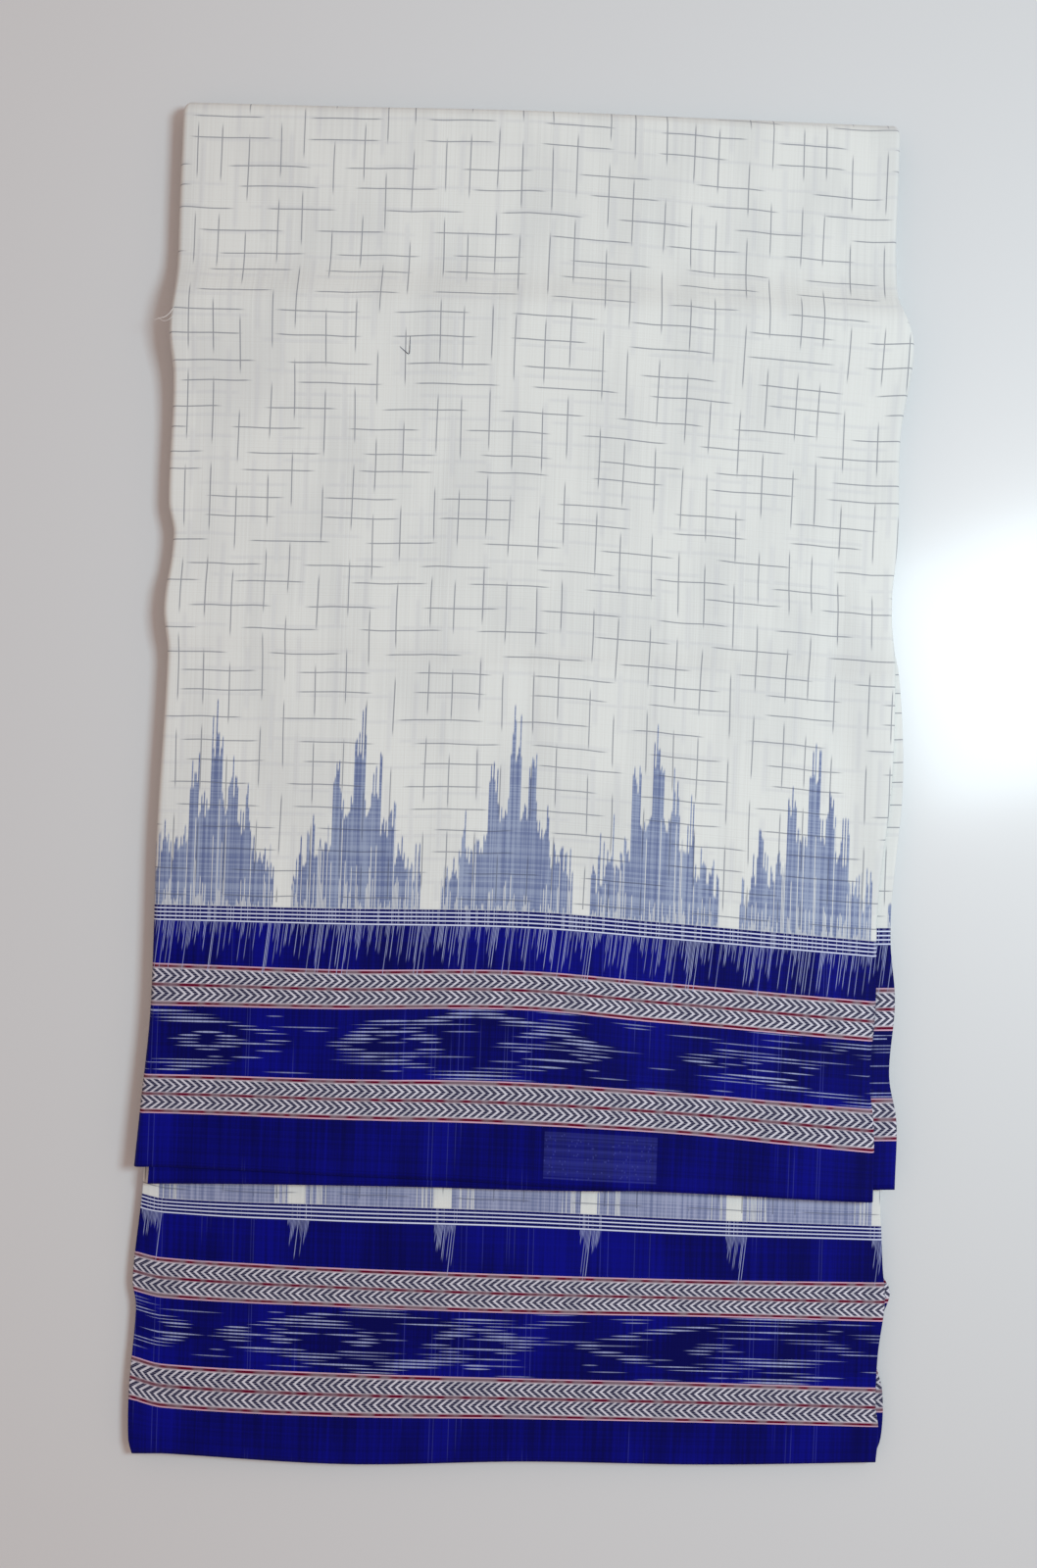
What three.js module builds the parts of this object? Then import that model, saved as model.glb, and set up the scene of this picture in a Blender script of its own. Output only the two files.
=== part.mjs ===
// A handloom cotton saree, folded flat and lying on a level surface.
//
// The length of cloth is halved four times lengthwise into a strip of sixteen plies, and the strip is
// then folded once across, with the lower leaf longer than the upper one, so that the borders at both
// selvedges show. Millimetres, +Z up, +Y towards the cross fold at the head, +X to the open right side.
// The origin is the centre of the bounding box, on the surface that the stack rests on.

import * as THREE from 'three';

// Driving dimensions
const WALL = 1.2; // a stretch of cloth that shows
const INNER_WALL = 1.1; // a stretch that shows only at an edge
const GAP = 0.35; // air between neighbouring solids
const LOWER_HIDDEN = 2.0; // hidden plies in the lower leaf
const UPPER_HIDDEN = 3.0; // hidden plies in the upper leaf

// Where the leaves end, at their left edge
const HEAD_LEFT_Y = 323.75;
const UPPER_SELVEDGE_LEFT_Y = -179.1;
const LOWER_SELVEDGE_LEFT_Y = -316.8;
const SECOND_SELVEDGE_LEFT_Y = -187.5;

// The middle of the edges, between which the rows of a leaf are bent
const ROW_LEFT_X = -168;
const ROW_RIGHT_X = 174;

// Levels of the plies above the surface, in the flat parts
const LEVEL = {};
LEVEL.outerLower = { under: 0, over: WALL };
LEVEL.hiddenLower = { under: LEVEL.outerLower.over + GAP };
LEVEL.hiddenLower.over = LEVEL.hiddenLower.under + LOWER_HIDDEN;
LEVEL.secondLower = { under: LEVEL.hiddenLower.over + GAP };
LEVEL.secondLower.over = LEVEL.secondLower.under + INNER_WALL;
LEVEL.faceLower = { under: LEVEL.secondLower.over + GAP };
LEVEL.faceLower.over = LEVEL.faceLower.under + WALL;
LEVEL.hiddenUpper = { under: LEVEL.faceLower.over + GAP };
LEVEL.hiddenUpper.over = LEVEL.hiddenUpper.under + UPPER_HIDDEN;
LEVEL.secondUpper = { under: LEVEL.hiddenUpper.over + GAP };
LEVEL.secondUpper.over = LEVEL.secondUpper.under + INNER_WALL;
LEVEL.outerUpper = { under: LEVEL.secondUpper.over + GAP };
LEVEL.outerUpper.over = LEVEL.outerUpper.under + WALL;

const HEAD_RADIUS = LEVEL.outerUpper.over / 2; // outside of the head fold

// Side outlines: at runs from 0 at the head fold to 1 at the selvedge, x is the edge
const UPPER_LEFT = [
  { at: 0.0, x: -157.7 },
  { at: 0.09, x: -159.5 },
  { at: 0.17, x: -160.9 },
  { at: 0.21, x: -163.4 },
  { at: 0.25, x: -162.0 },
  { at: 0.37, x: -164.7 },
  { at: 0.4, x: -162.3 },
  { at: 0.47, x: -166.6 },
  { at: 0.51, x: -165.1 },
  { at: 0.68, x: -170.2 },
  { at: 0.85, x: -173.2 },
  { at: 0.95, x: -178.3 },
  { at: 1.0, x: -180.9 },
];
const UPPER_RIGHT = [
  { at: 0.0, x: 180.2 },
  { at: 0.15, x: 178.6 },
  { at: 0.2, x: 184.9 },
  { at: 0.28, x: 180.2 },
  { at: 0.37, x: 179.3 },
  { at: 0.44, x: 175.9 },
  { at: 0.5, x: 177.9 },
  { at: 0.6, x: 176.3 },
  { at: 0.71, x: 169.8 },
  { at: 0.81, x: 168.5 },
  { at: 0.88, x: 165.7 },
  { at: 0.93, x: 167.7 },
  { at: 1.0, x: 167.2 },
];
// How far the second ply stands out beyond the face ply on the right
const SECOND_BEYOND = [
  { at: 0.0, x: -2.6 },
  { at: 0.44, x: -2.4 },
  { at: 0.5, x: 2.1 },
  { at: 0.6, x: 5.5 },
  { at: 0.68, x: 6.6 },
  { at: 0.75, x: 7.0 },
  { at: 0.8, x: 9.3 },
  { at: 0.87, x: 9.4 },
  { at: 0.92, x: 11.0 },
  { at: 1.0, x: 10.7 },
];
const LOWER_LEFT = [
  { at: 0.0, x: -155.6 },
  { at: 0.2, x: -159.8 },
  { at: 0.45, x: -164.4 },
  { at: 0.68, x: -170.6 },
  { at: 0.77, x: -176.4 },
  { at: 0.81, x: -178.6 },
  { at: 0.87, x: -182.7 },
  { at: 0.89, x: -181.1 },
  { at: 0.95, x: -184.4 },
  { at: 0.99, x: -184.8 },
  { at: 1.0, x: -183.2 },
];
const LOWER_RIGHT = [
  { at: 0.0, x: 178.0 },
  { at: 0.16, x: 180.0 },
  { at: 0.36, x: 174.0 },
  { at: 0.56, x: 172.0 },
  { at: 0.72, x: 171.0 },
  { at: 0.83, x: 173.1 },
  { at: 0.86, x: 174.2 },
  { at: 0.9, x: 170.9 },
  { at: 0.94, x: 169.8 },
  { at: 0.96, x: 171.1 },
  { at: 1.0, x: 169.8 },
];
const LOWER_SECOND_RIGHT = [
  { at: 0.78, x: 168.6 },
  { at: 0.83, x: 170.0 },
  { at: 0.852, x: 177.0 },
  { at: 0.875, x: 172.4 },
  { at: 0.9, x: 169.4 },
  { at: 0.93, x: 173.4 },
  { at: 0.97, x: 172.6 },
  { at: 1.0, x: 168.4 },
];

// How far each row across a leaf drops towards the selvedge, at a quarter, half, three quarters and the
// whole of the way from its left edge to its right edge
const UPPER_DROP = [
  { at: 0.0, quarter: 2.3, half: 4.2, threeQuarters: 7.9, whole: 11.6 },
  { at: 0.2, quarter: -1.6, half: 0.0, threeQuarters: 3.7, whole: 13.9 },
  { at: 0.41, quarter: -1.8, half: 0.2, threeQuarters: 5.6, whole: 17.1 },
  { at: 0.76, quarter: 2.8, half: 5.6, threeQuarters: 13.9, whole: 20.4 },
  { at: 1.0, quarter: 4.0, half: 8.5, threeQuarters: 13.0, whole: 17.1 },
];
const SECOND_END_DROP = { quarter: 0.7, half: 3.0, threeQuarters: 3.6, whole: 3.2 };
const SECOND_END_INSET = 6.5; // how far in the second ply's corner lies at the left
const LOWER_DROP = [
  { at: 0.0, quarter: 2.3, half: 4.2, threeQuarters: 7.9, whole: 11.6 },
  { at: 0.33, quarter: -1.8, half: 0.2, threeQuarters: 5.6, whole: 17.1 },
  { at: 0.79, quarter: 8.0, half: 10.5, threeQuarters: 14.8, whole: 18.1 },
  { at: 0.85, quarter: 9.7, half: 13.0, threeQuarters: 16.2, whole: 17.6 },
  { at: 0.96, quarter: 8.8, half: 10.0, threeQuarters: 11.3, whole: 13.9 },
  { at: 1.0, quarter: 5.1, half: 3.9, threeQuarters: 5.3, whole: 4.2 },
];

// Relief of the upper leaf: an old cross crease that stands up as a ridge, and a low raised patch
const RIDGE = { y: 221, slant: -0.035, height: 8.6, towardsHead: 15, towardsSelvedge: 34, rightExtra: 1.2 };
const PLATEAU = { y: 77, halfLength: 16, edge: 7, height: 2.2 };
const BORDER_WAVES = { height: 0.7, length: 118, fadeFrom: -40, fadeTo: -120 };

// Lips, from the outermost point in: the way in from the outline and the depth below the face, of the
// face and of the back of the cloth
const LEFT_LIP = [
  { inward: 0.7, depth: 5.0, backIn: 1.9, backDepth: 5.0 },
  { inward: 0.0, depth: 3.0, backIn: 1.2, backDepth: 3.0 },
  { inward: 0.7, depth: 1.1, backIn: 1.8, backDepth: 1.9 },
  { inward: 2.8, depth: 0.2, backIn: 3.2, backDepth: 1.35 },
];
const RIGHT_LIP = [
  { inward: 0.0, depth: 2.4, backIn: 1.1, backDepth: 2.4 },
  { inward: 0.4, depth: 0.9, backIn: 1.5, backDepth: 1.7 },
  { inward: 2.4, depth: 0.2, backIn: 2.8, backDepth: 1.35 },
];
const SHORT_LIP = [
  { inward: 0.0, depth: 0.35, backIn: 0.0, backDepth: 0.75 },
  { inward: 0.5, depth: 0.05, backIn: 0.5, backDepth: 1.05 },
];
const INNER_INSET = 2.6; // how far the plies inside stay back from the rolled left edge
const HIDDEN_INSET = 1.6; // how far the hidden plies stay back on the right
const SHELF = { from: 15, to: 5, depth: 1.2 }; // where the second ply steps down beside the face ply
const LAYER_RIDGES = 3; // ridges on a side where folded edges show
const LAYER_DEPTH = 0.8; // how far the valleys between them go in
const COLUMNS = [0.04, 0.15, 0.27, 0.39, 0.5, 0.61, 0.73, 0.85, 0.96]; // shares of the way across

// Steps along the strip
const STEP = 26;
const RIDGE_STEP = 9; // over the ridge
const INNER_START = 0.03; // where the plies inside start below the head fold
const HIDDEN_END = { upper: 0.985, lower: 0.993 };
const END_BLEND = 0.86; // where a ply's rows turn to its own selvedge line
const SMALLEST_FOLD = 1.2; // radius of the innermost turn at the head

// Colours of the woven cotton
const OFF_WHITE = 0xd9dbd6;
const SHADED_WHITE = 0xcfd1cb;
const DEEP_BLUE = 0x1a1d86;

/** A smooth curve through the rows of a table, which hold `at` and the named column. */
function lookUp(rows, column, at) {
  const last = rows.length - 1;
  if (at <= rows[0].at) return rows[0][column];
  if (at >= rows[last].at) return rows[last][column];
  const i = rows.findIndex((row) => row.at > at) - 1;
  const slope = (from, to) => (rows[to][column] - rows[from][column]) / (rows[to].at - rows[from].at);
  const span = rows[i + 1].at - rows[i].at;
  const t = (at - rows[i].at) / span;
  const startSlope = slope(Math.max(i - 1, 0), i + 1) * span;
  const endSlope = slope(i, Math.min(i + 2, last)) * span;
  const [a, b] = [rows[i][column], rows[i + 1][column]];
  return a * (1 - t) ** 2 * (1 + 2 * t) + b * t ** 2 * (3 - 2 * t)
    + startSlope * t * (1 - t) ** 2 - endSlope * t ** 2 * (1 - t);
}

function mix(a, b, t) {
  return a + (b - a) * t;
}

function smoothStep(from, to, value) {
  const t = Math.min(1, Math.max(0, (value - from) / (to - from)));
  return t * t * (3 - 2 * t);
}

/** How far a row has dropped at x, from the columns of a drop table's row. */
function dropAcross(row, x) {
  const across = [
    { at: 0, drop: 0 },
    { at: 0.25, drop: row.quarter },
    { at: 0.5, drop: row.half },
    { at: 0.75, drop: row.threeQuarters },
    { at: 1, drop: row.whole },
  ];
  return lookUp(across, 'drop', (x - ROW_LEFT_X) / (ROW_RIGHT_X - ROW_LEFT_X));
}

function dropRow(rows, at) {
  return {
    quarter: lookUp(rows, 'quarter', at),
    half: lookUp(rows, 'half', at),
    threeQuarters: lookUp(rows, 'threeQuarters', at),
    whole: lookUp(rows, 'whole', at),
  };
}

const FOLD_START_Y = HEAD_LEFT_Y - HEAD_RADIUS; // where the runs of the leaves meet the head fold

/** The Y of a point of a leaf, at runs from 0 at the head fold to 1 at the selvedge. */
function leafY(leaf, at, x) {
  const y = mix(FOLD_START_Y, leaf.selvedgeY, at) - dropAcross(dropRow(leaf.drop, at), x);
  if (!leaf.end) return y;
  const own = leaf.end.selvedgeY - dropAcross(leaf.end.drop, x);
  const shared = leaf.selvedgeY - dropAcross(leaf.drop[leaf.drop.length - 1], x);
  return y + (own - shared) * smoothStep(END_BLEND, 1, at);
}

/** The relief of the upper leaf's face above its flat level. */
function relief(x, y) {
  const crest = RIDGE.y + RIDGE.slant * x;
  const width = y > crest ? RIDGE.towardsHead : RIDGE.towardsSelvedge;
  const rise = RIDGE.height + (RIDGE.rightExtra * x) / ROW_RIGHT_X;
  const ridge = rise * Math.exp(-(((y - crest) / width) ** 2));
  const away = Math.abs(y - PLATEAU.y - RIDGE.slant * x) - PLATEAU.halfLength;
  const plateau = PLATEAU.height * (1 - smoothStep(-PLATEAU.edge, PLATEAU.edge, away));
  const share = smoothStep(BORDER_WAVES.fadeFrom, BORDER_WAVES.fadeTo, y);
  const waves = BORDER_WAVES.height * share * (1 + Math.sin((2 * Math.PI * x) / BORDER_WAVES.length));
  return ridge + plateau + waves;
}

const UPPER_FLOOR = LEVEL.hiddenUpper.under;
const UPPER_DEPTH = LEVEL.outerUpper.over - UPPER_FLOOR;

/** A height in the upper leaf, lifted by its share of the relief. */
function upperHeight(level, x, y) {
  return level + (relief(x, y) * (level - UPPER_FLOOR)) / UPPER_DEPTH;
}

// The leaves: their side outlines, the drop of their rows, and their own selvedge line where it differs
const upperFace = {
  left: (at) => lookUp(UPPER_LEFT, 'x', at),
  right: (at) => lookUp(UPPER_RIGHT, 'x', at),
  drop: UPPER_DROP,
  selvedgeY: UPPER_SELVEDGE_LEFT_Y,
};
const upperSecond = {
  ...upperFace,
  left: (at) => upperFace.left(at) + mix(INNER_INSET, SECOND_END_INSET, smoothStep(END_BLEND, 1, at)),
  right: (at) => upperFace.right(at) + lookUp(SECOND_BEYOND, 'x', at),
  end: { selvedgeY: SECOND_SELVEDGE_LEFT_Y, drop: SECOND_END_DROP },
};
const upperHidden = { ...upperSecond, right: (at) => upperSecond.right(at) - HIDDEN_INSET };
const lowerFace = {
  left: (at) => lookUp(LOWER_LEFT, 'x', at),
  right: (at) => lookUp(LOWER_RIGHT, 'x', at),
  drop: LOWER_DROP,
  selvedgeY: LOWER_SELVEDGE_LEFT_Y,
};
const lowerSecond = {
  ...lowerFace,
  left: (at) => lowerFace.left(at) + INNER_INSET,
  right: (at) => lookUp(LOWER_SECOND_RIGHT, 'x', at),
};
const lowerHidden = {
  ...lowerSecond,
  right: (at) => lowerFace.right(at) - INNER_INSET,
};

/** Places along a leaf, the same for all its layers, with its ends and closer together over the ridge. */
function stations({ from, to, leaf, ridged }) {
  const length = FOLD_START_Y - leaf.selvedgeY;
  const places = [];
  for (let at = 0; at < to;) {
    if (at > from) places.push(at);
    const overRidge = ridged && Math.abs(FOLD_START_Y - at * length - RIDGE.y) < RIDGE.towardsSelvedge;
    at += (overRidge ? RIDGE_STEP : STEP) / length;
  }
  return [from, ...places, to];
}

/** The rings of a run of the upper leaf, from `to` near the selvedge up to `from` near the head fold. */
function upperRun({ leaf, level, section, from, to }) {
  const thickness = level.over - level.under;
  return stations({ from, to, leaf, ridged: true }).reverse().map((at) => {
    const place = { left: leaf.left(at), right: leaf.right(at), shelf: upperFace.right(at), thickness };
    return section(place).map(({ x, depth }) => {
      const y = leafY(leaf, at, x);
      return [x, y, upperHeight(level.over - depth, x, y)];
    });
  });
}

/** The rings of a run of the lower leaf, from the head fold down. Turned plies have their face below. */
function lowerRun({ leaf, level, section, from, to, turned }) {
  const thickness = level.over - level.under;
  return stations({ from, to, leaf, ridged: false }).map((at) => {
    const place = { left: leaf.left(at), right: leaf.right(at), shelf: Infinity, thickness };
    return section(place).map(({ x, depth }) => {
      const z = turned ? level.under + depth : level.over - depth;
      return [x, leafY(leaf, at, x), z];
    });
  });
}

/** The rings round the head fold, between an upper run and a turned lower run of the same plies. */
function foldRings({ leaf, above, below, section, steps }) {
  const thickness = above.over - above.under;
  const place = { left: leaf.left(0), right: leaf.right(0), shelf: upperFace.right(0), thickness };
  return Array.from({ length: steps - 1 }, (_, i) => {
    const share = (i + 1) / steps;
    const angle = Math.PI * (0.5 - share);
    const radius = mix(above.over - HEAD_RADIUS, HEAD_RADIUS - below.under, share);
    const inside = mix(above.under - HEAD_RADIUS, HEAD_RADIUS - below.over, share);
    return section(place).map(({ x, depth }) => {
      const reach = Math.max(mix(radius, inside, depth / thickness), SMALLEST_FOLD);
      const y = FOLD_START_Y - dropAcross(UPPER_DROP[0], x) + reach * Math.cos(angle);
      return [x, y, HEAD_RADIUS + reach * Math.sin(angle)];
    });
  });
}

/**
 * The ring of a sheet: across its face, and back along its other side, with the given lips at its edges.
 * Where the plies above end at a shelf, the sheet steps down beside them.
 */
function sheetSection(leftLip, rightLip) {
  return ({ left, right, shelf, thickness }) => {
    const columns = columnsAcross(left, right, rightLip === RIGHT_LIP ? Infinity : shelf);
    const down = columns[columns.length - 1].depth;
    const lips = (inward, depth) => [
      leftLip.map((lip) => ({ x: left + lip[inward], depth: lip[depth] })),
      [...rightLip].reverse().map((lip) => ({ x: right - lip[inward], depth: lip[depth] + down })),
    ];
    const [faceLeft, faceRight] = lips('inward', 'depth');
    const [backLeft, backRight] = lips('backIn', 'backDepth');
    const back = columns.map(({ x, depth }) => ({ x, depth: depth + thickness }));
    return [...faceLeft, ...columns, ...faceRight, ...[...backLeft, ...back, ...backRight].reverse()];
  };
}

/** The columns of a ring, the last two at the step down beside the plies above, if there are any. */
function columnsAcross(left, right, shelf) {
  if (shelf === Infinity) return COLUMNS.map((share) => ({ x: mix(left, right, share), depth: 0 }));
  const stepAt = shelf - SHELF.from;
  const before = COLUMNS.slice(0, -2);
  const widest = COLUMNS[COLUMNS.length - 2];
  return [
    ...before.map((share) => ({ x: mix(left, stepAt, share / widest), depth: 0 })),
    { x: stepAt, depth: 0 },
    { x: shelf - SHELF.to, depth: SHELF.depth },
  ];
}

/** The ring of the hidden plies: ridged on the right, where folded edges lie, and round on the left. */
function hiddenSection({ left, right, shelf, thickness }) {
  const face = columnsAcross(left, right, shelf);
  const down = face[face.length - 1].depth;
  const sides = Array.from({ length: 2 * LAYER_RIDGES - 1 }, (_, i) => (i + 0.5) / (2 * LAYER_RIDGES - 1));
  const back = face.map(({ x }) => ({ x, depth: thickness }));
  const ridged = sides.map((share, i) => ({
    x: right - (i % 2) * LAYER_DEPTH, depth: mix(down, thickness, share),
  }));
  const round = sides.map((share) => ({
    x: left + LAYER_DEPTH * (1 - Math.sin(Math.PI * share)), depth: share * thickness,
  }));
  return [...face, ...ridged, ...back.reverse(), ...round.reverse()];
}

/** The triangles of a band between two rows of points, where the lower row may have one more at each end. */
function band(a, b) {
  const extra = (b.length - a.length) / 2;
  const [fromA, fromB] = [Math.max(-extra, 0), Math.max(extra, 0)];
  const triangles = [];
  if (extra === 1) triangles.push([b[0], b[1], a[0]], [a[a.length - 1], b[b.length - 2], b[b.length - 1]]);
  if (extra === -1) triangles.push([a[0], b[0], a[1]], [a[a.length - 2], b[b.length - 1], a[a.length - 1]]);
  for (let c = 0; c < Math.min(a.length, b.length) - 1; c += 1) {
    const [p, q, u, v] = [a[c + fromA], a[c + 1 + fromA], b[c + fromB], b[c + 1 + fromB]];
    triangles.push([p, u, v], [p, v, q]);
  }
  return triangles;
}

/**
 * A closed solid through the rings. Each end is closed by rows between the face and its other side.
 * push moves the middle of those rows in and out along the strip, which layers the end.
 */
function solidThrough(rings, columnCount, push = 0) {
  const count = rings[0].length;
  const sideRows = (count - 2 * columnCount) / 2;
  const positions = rings.flat(2);
  const index = [];
  for (let s = 0; s < rings.length - 1; s += 1) {
    for (let i = 0; i < count; i += 1) {
      const next = (i + 1) % count;
      const [a, b, c, d] = [s * count + i, s * count + next, (s + 1) * count + next, (s + 1) * count + i];
      index.push(a, b, c, a, c, d);
    }
  }
  for (const end of [0, rings.length - 1]) {
    const ring = rings[end];
    const behind = rings[end === 0 ? 1 : end - 1];
    const start = end * count;
    const columns = Array.from({ length: columnCount }, (_, c) => c);
    const opposite = (c) => 2 * columnCount + sideRows - 1 - c;
    const rows = [columns.map((c) => start + c)];
    for (let r = 0; r < sideRows; r += 1) {
      const share = (r + 0.5) / sideRows;
      const inner = columns.map((c) => {
        const [over, under] = [ring[c], ring[opposite(c)]];
        const out = Math.sign(over[1] - behind[c][1]) * push * (r % 2 ? -1 : 1);
        positions.push(mix(over[0], under[0], share), mix(over[1], under[1], share) + out,
          mix(over[2], under[2], share));
        return positions.length / 3 - 1;
      });
      rows.push([start + count - 1 - r, ...inner, start + columnCount + r]);
    }
    rows.push(columns.map((c) => start + opposite(c)));
    for (let r = 0; r < rows.length - 1; r += 1) {
      for (const [a, b, c] of band(rows[r], rows[r + 1])) {
        index.push(...(end === 0 ? [a, b, c] : [a, c, b]));
      }
    }
  }
  const geometry = new THREE.BufferGeometry();
  geometry.setAttribute('position', new THREE.Float32BufferAttribute(positions, 3));
  geometry.setIndex(index);
  return facingOut(geometry);
}

/** The geometry with its triangles turned, where needed, so that its volume is positive. */
function facingOut(geometry) {
  const position = geometry.getAttribute('position');
  const index = geometry.getIndex();
  const [a, b, c] = [new THREE.Vector3(), new THREE.Vector3(), new THREE.Vector3()];
  let volume = 0;
  for (let i = 0; i < index.count; i += 3) {
    a.fromBufferAttribute(position, index.getX(i));
    b.fromBufferAttribute(position, index.getX(i + 1));
    c.fromBufferAttribute(position, index.getX(i + 2));
    volume += a.dot(b.cross(c)) / 6;
  }
  if (volume < 0) {
    for (let i = 0; i < index.count; i += 3) {
      const kept = index.getX(i + 1);
      index.setX(i + 1, index.getX(i + 2));
      index.setX(i + 2, kept);
    }
  }
  geometry.computeVertexNormals();
  return geometry;
}

function cottonMesh(name, geometry, color) {
  const material = new THREE.MeshStandardMaterial({ color, roughness: 0.85, metalness: 0 });
  const mesh = new THREE.Mesh(geometry, material);
  mesh.name = name;
  return mesh;
}

/** The outermost ply: upper face, head fold and underside. */
function outerStretch() {
  const section = sheetSection(LEFT_LIP, RIGHT_LIP);
  const [above, below] = [LEVEL.outerUpper, LEVEL.outerLower];
  const rings = [
    ...upperRun({ leaf: upperFace, level: above, section, from: 0, to: 1 }),
    ...foldRings({ leaf: upperFace, above, below, section, steps: 7 }),
    ...lowerRun({ leaf: lowerFace, level: below, section, from: 0, to: 1, turned: true }),
  ];
  return solidThrough(rings, LEFT_LIP.length + COLUMNS.length + RIGHT_LIP.length);
}

/** A ply that starts under the upper leaf or the head fold and ends in its selvedge. */
function innerStretch(run, leaf, level, from) {
  const section = sheetSection(SHORT_LIP, SHORT_LIP);
  const rings = run({ leaf, level, section, from, to: 1 });
  return solidThrough(rings, 2 * SHORT_LIP.length + COLUMNS.length);
}

/** All the plies between, round the head fold, with their layers as ridges. */
function hiddenLayers() {
  const section = hiddenSection;
  const [above, below] = [LEVEL.hiddenUpper, LEVEL.hiddenLower];
  const rings = [
    ...upperRun({ leaf: upperHidden, level: above, section, from: 0, to: HIDDEN_END.upper }),
    ...foldRings({ leaf: upperHidden, above, below, section, steps: 6 }),
    ...lowerRun({ leaf: lowerHidden, level: below, section, from: 0, to: HIDDEN_END.lower, turned: true }),
  ];
  return solidThrough(rings, COLUMNS.length, LAYER_DEPTH);
}

const secondUpper = innerStretch(upperRun, upperSecond, LEVEL.secondUpper, INNER_START);
const faceLower = innerStretch(lowerRun, lowerFace, LEVEL.faceLower, INNER_START);
const secondLower = innerStretch(lowerRun, lowerSecond, LEVEL.secondLower, LOWER_SECOND_RIGHT[0].at);
const saree = new THREE.Group();
saree.add(
  cottonMesh('outer_stretch', outerStretch(), OFF_WHITE),
  cottonMesh('upper_second_stretch', secondUpper, OFF_WHITE),
  cottonMesh('lower_face_stretch', faceLower, DEEP_BLUE),
  cottonMesh('lower_second_stretch', secondLower, DEEP_BLUE),
  cottonMesh('hidden_layers', hiddenLayers(), SHADED_WHITE),
);

// The frame's origin is the middle of the box, on the ground
const box = new THREE.Box3().setFromObject(saree);
const middle = box.getCenter(new THREE.Vector3());
saree.position.set(-middle.x, -middle.y, -box.min.z);

export default saree;
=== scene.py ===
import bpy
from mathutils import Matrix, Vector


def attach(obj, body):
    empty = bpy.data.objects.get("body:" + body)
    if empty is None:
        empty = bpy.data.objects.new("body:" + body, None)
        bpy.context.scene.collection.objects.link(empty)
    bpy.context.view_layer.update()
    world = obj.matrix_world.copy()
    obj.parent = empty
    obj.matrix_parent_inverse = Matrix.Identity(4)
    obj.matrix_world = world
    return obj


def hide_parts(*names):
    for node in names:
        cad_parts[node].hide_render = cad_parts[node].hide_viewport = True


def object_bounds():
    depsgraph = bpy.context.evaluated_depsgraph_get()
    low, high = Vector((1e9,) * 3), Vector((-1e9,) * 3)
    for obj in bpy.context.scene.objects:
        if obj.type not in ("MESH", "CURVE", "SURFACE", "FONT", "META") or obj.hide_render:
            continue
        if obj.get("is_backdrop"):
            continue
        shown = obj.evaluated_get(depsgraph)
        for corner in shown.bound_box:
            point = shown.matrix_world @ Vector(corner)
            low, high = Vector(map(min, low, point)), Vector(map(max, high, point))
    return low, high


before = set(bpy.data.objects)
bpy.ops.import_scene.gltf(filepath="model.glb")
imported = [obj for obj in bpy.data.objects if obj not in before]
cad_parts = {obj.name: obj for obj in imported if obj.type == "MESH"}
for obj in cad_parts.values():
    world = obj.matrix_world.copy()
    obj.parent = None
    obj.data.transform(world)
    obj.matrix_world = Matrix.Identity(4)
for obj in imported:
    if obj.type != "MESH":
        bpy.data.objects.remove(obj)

"""A handloom cotton saree, folded flat, on a pale glossy table under one soft light.

The cloth is halved four times lengthwise into a strip of sixteen plies, and folded once across, with the
lower leaf longer than the upper one. Sizes are in millimetres, in the table's own X and Y, as in the part's
source: +X to the open right side, +Y towards the cross fold at the head. Meshes are written in metres, in
the frame of the CAD model.
"""

import logging
import math
from dataclasses import dataclass
from enum import Enum

import bpy
import numpy as np
from mathutils import Vector

log = logging.getLogger("saree")

Socket = bpy.types.NodeSocket
Finishes = tuple[bpy.types.Material, ...]

MM = 0.001
SEED = 16

# The photograph is 1058 by 1600 pixels
PHOTO_HEIGHT = 1600
MM_PER_PIXEL = 0.4635

# The width of the saree, which is 5.5 m long, and that of one ply of the folded strip
SAREE_WIDTH = 1150.0

# Where the leaves end, at their left edge
HEAD_LEFT_Y = 323.75
UPPER_SELVEDGE_Y = -179.1
LOWER_SELVEDGE_Y = -316.8
SECOND_SELVEDGE_Y = -187.5
HEAD_RADIUS = 6.45
FOLD_START_Y = HEAD_LEFT_Y - HEAD_RADIUS

# The middle of the edges, between which the rows of a leaf are bent
ROW_LEFT_X = -168.0
ROW_RIGHT_X = 174.0


def smooth_step(start: float, end: float, value: np.ndarray) -> np.ndarray:
    """Eases from 0 at start to 1 at end, as 3t² − 2t³ of the way t between them.

    Args:
        start: the value where the step begins.
        end: the value where the step has ended.
        value: the places to look at.

    Returns:
        The share of the step at each place.
    """
    t = np.clip((value - start) / (end - start), 0.0, 1.0)
    return t * t * (3.0 - 2.0 * t)


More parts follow.
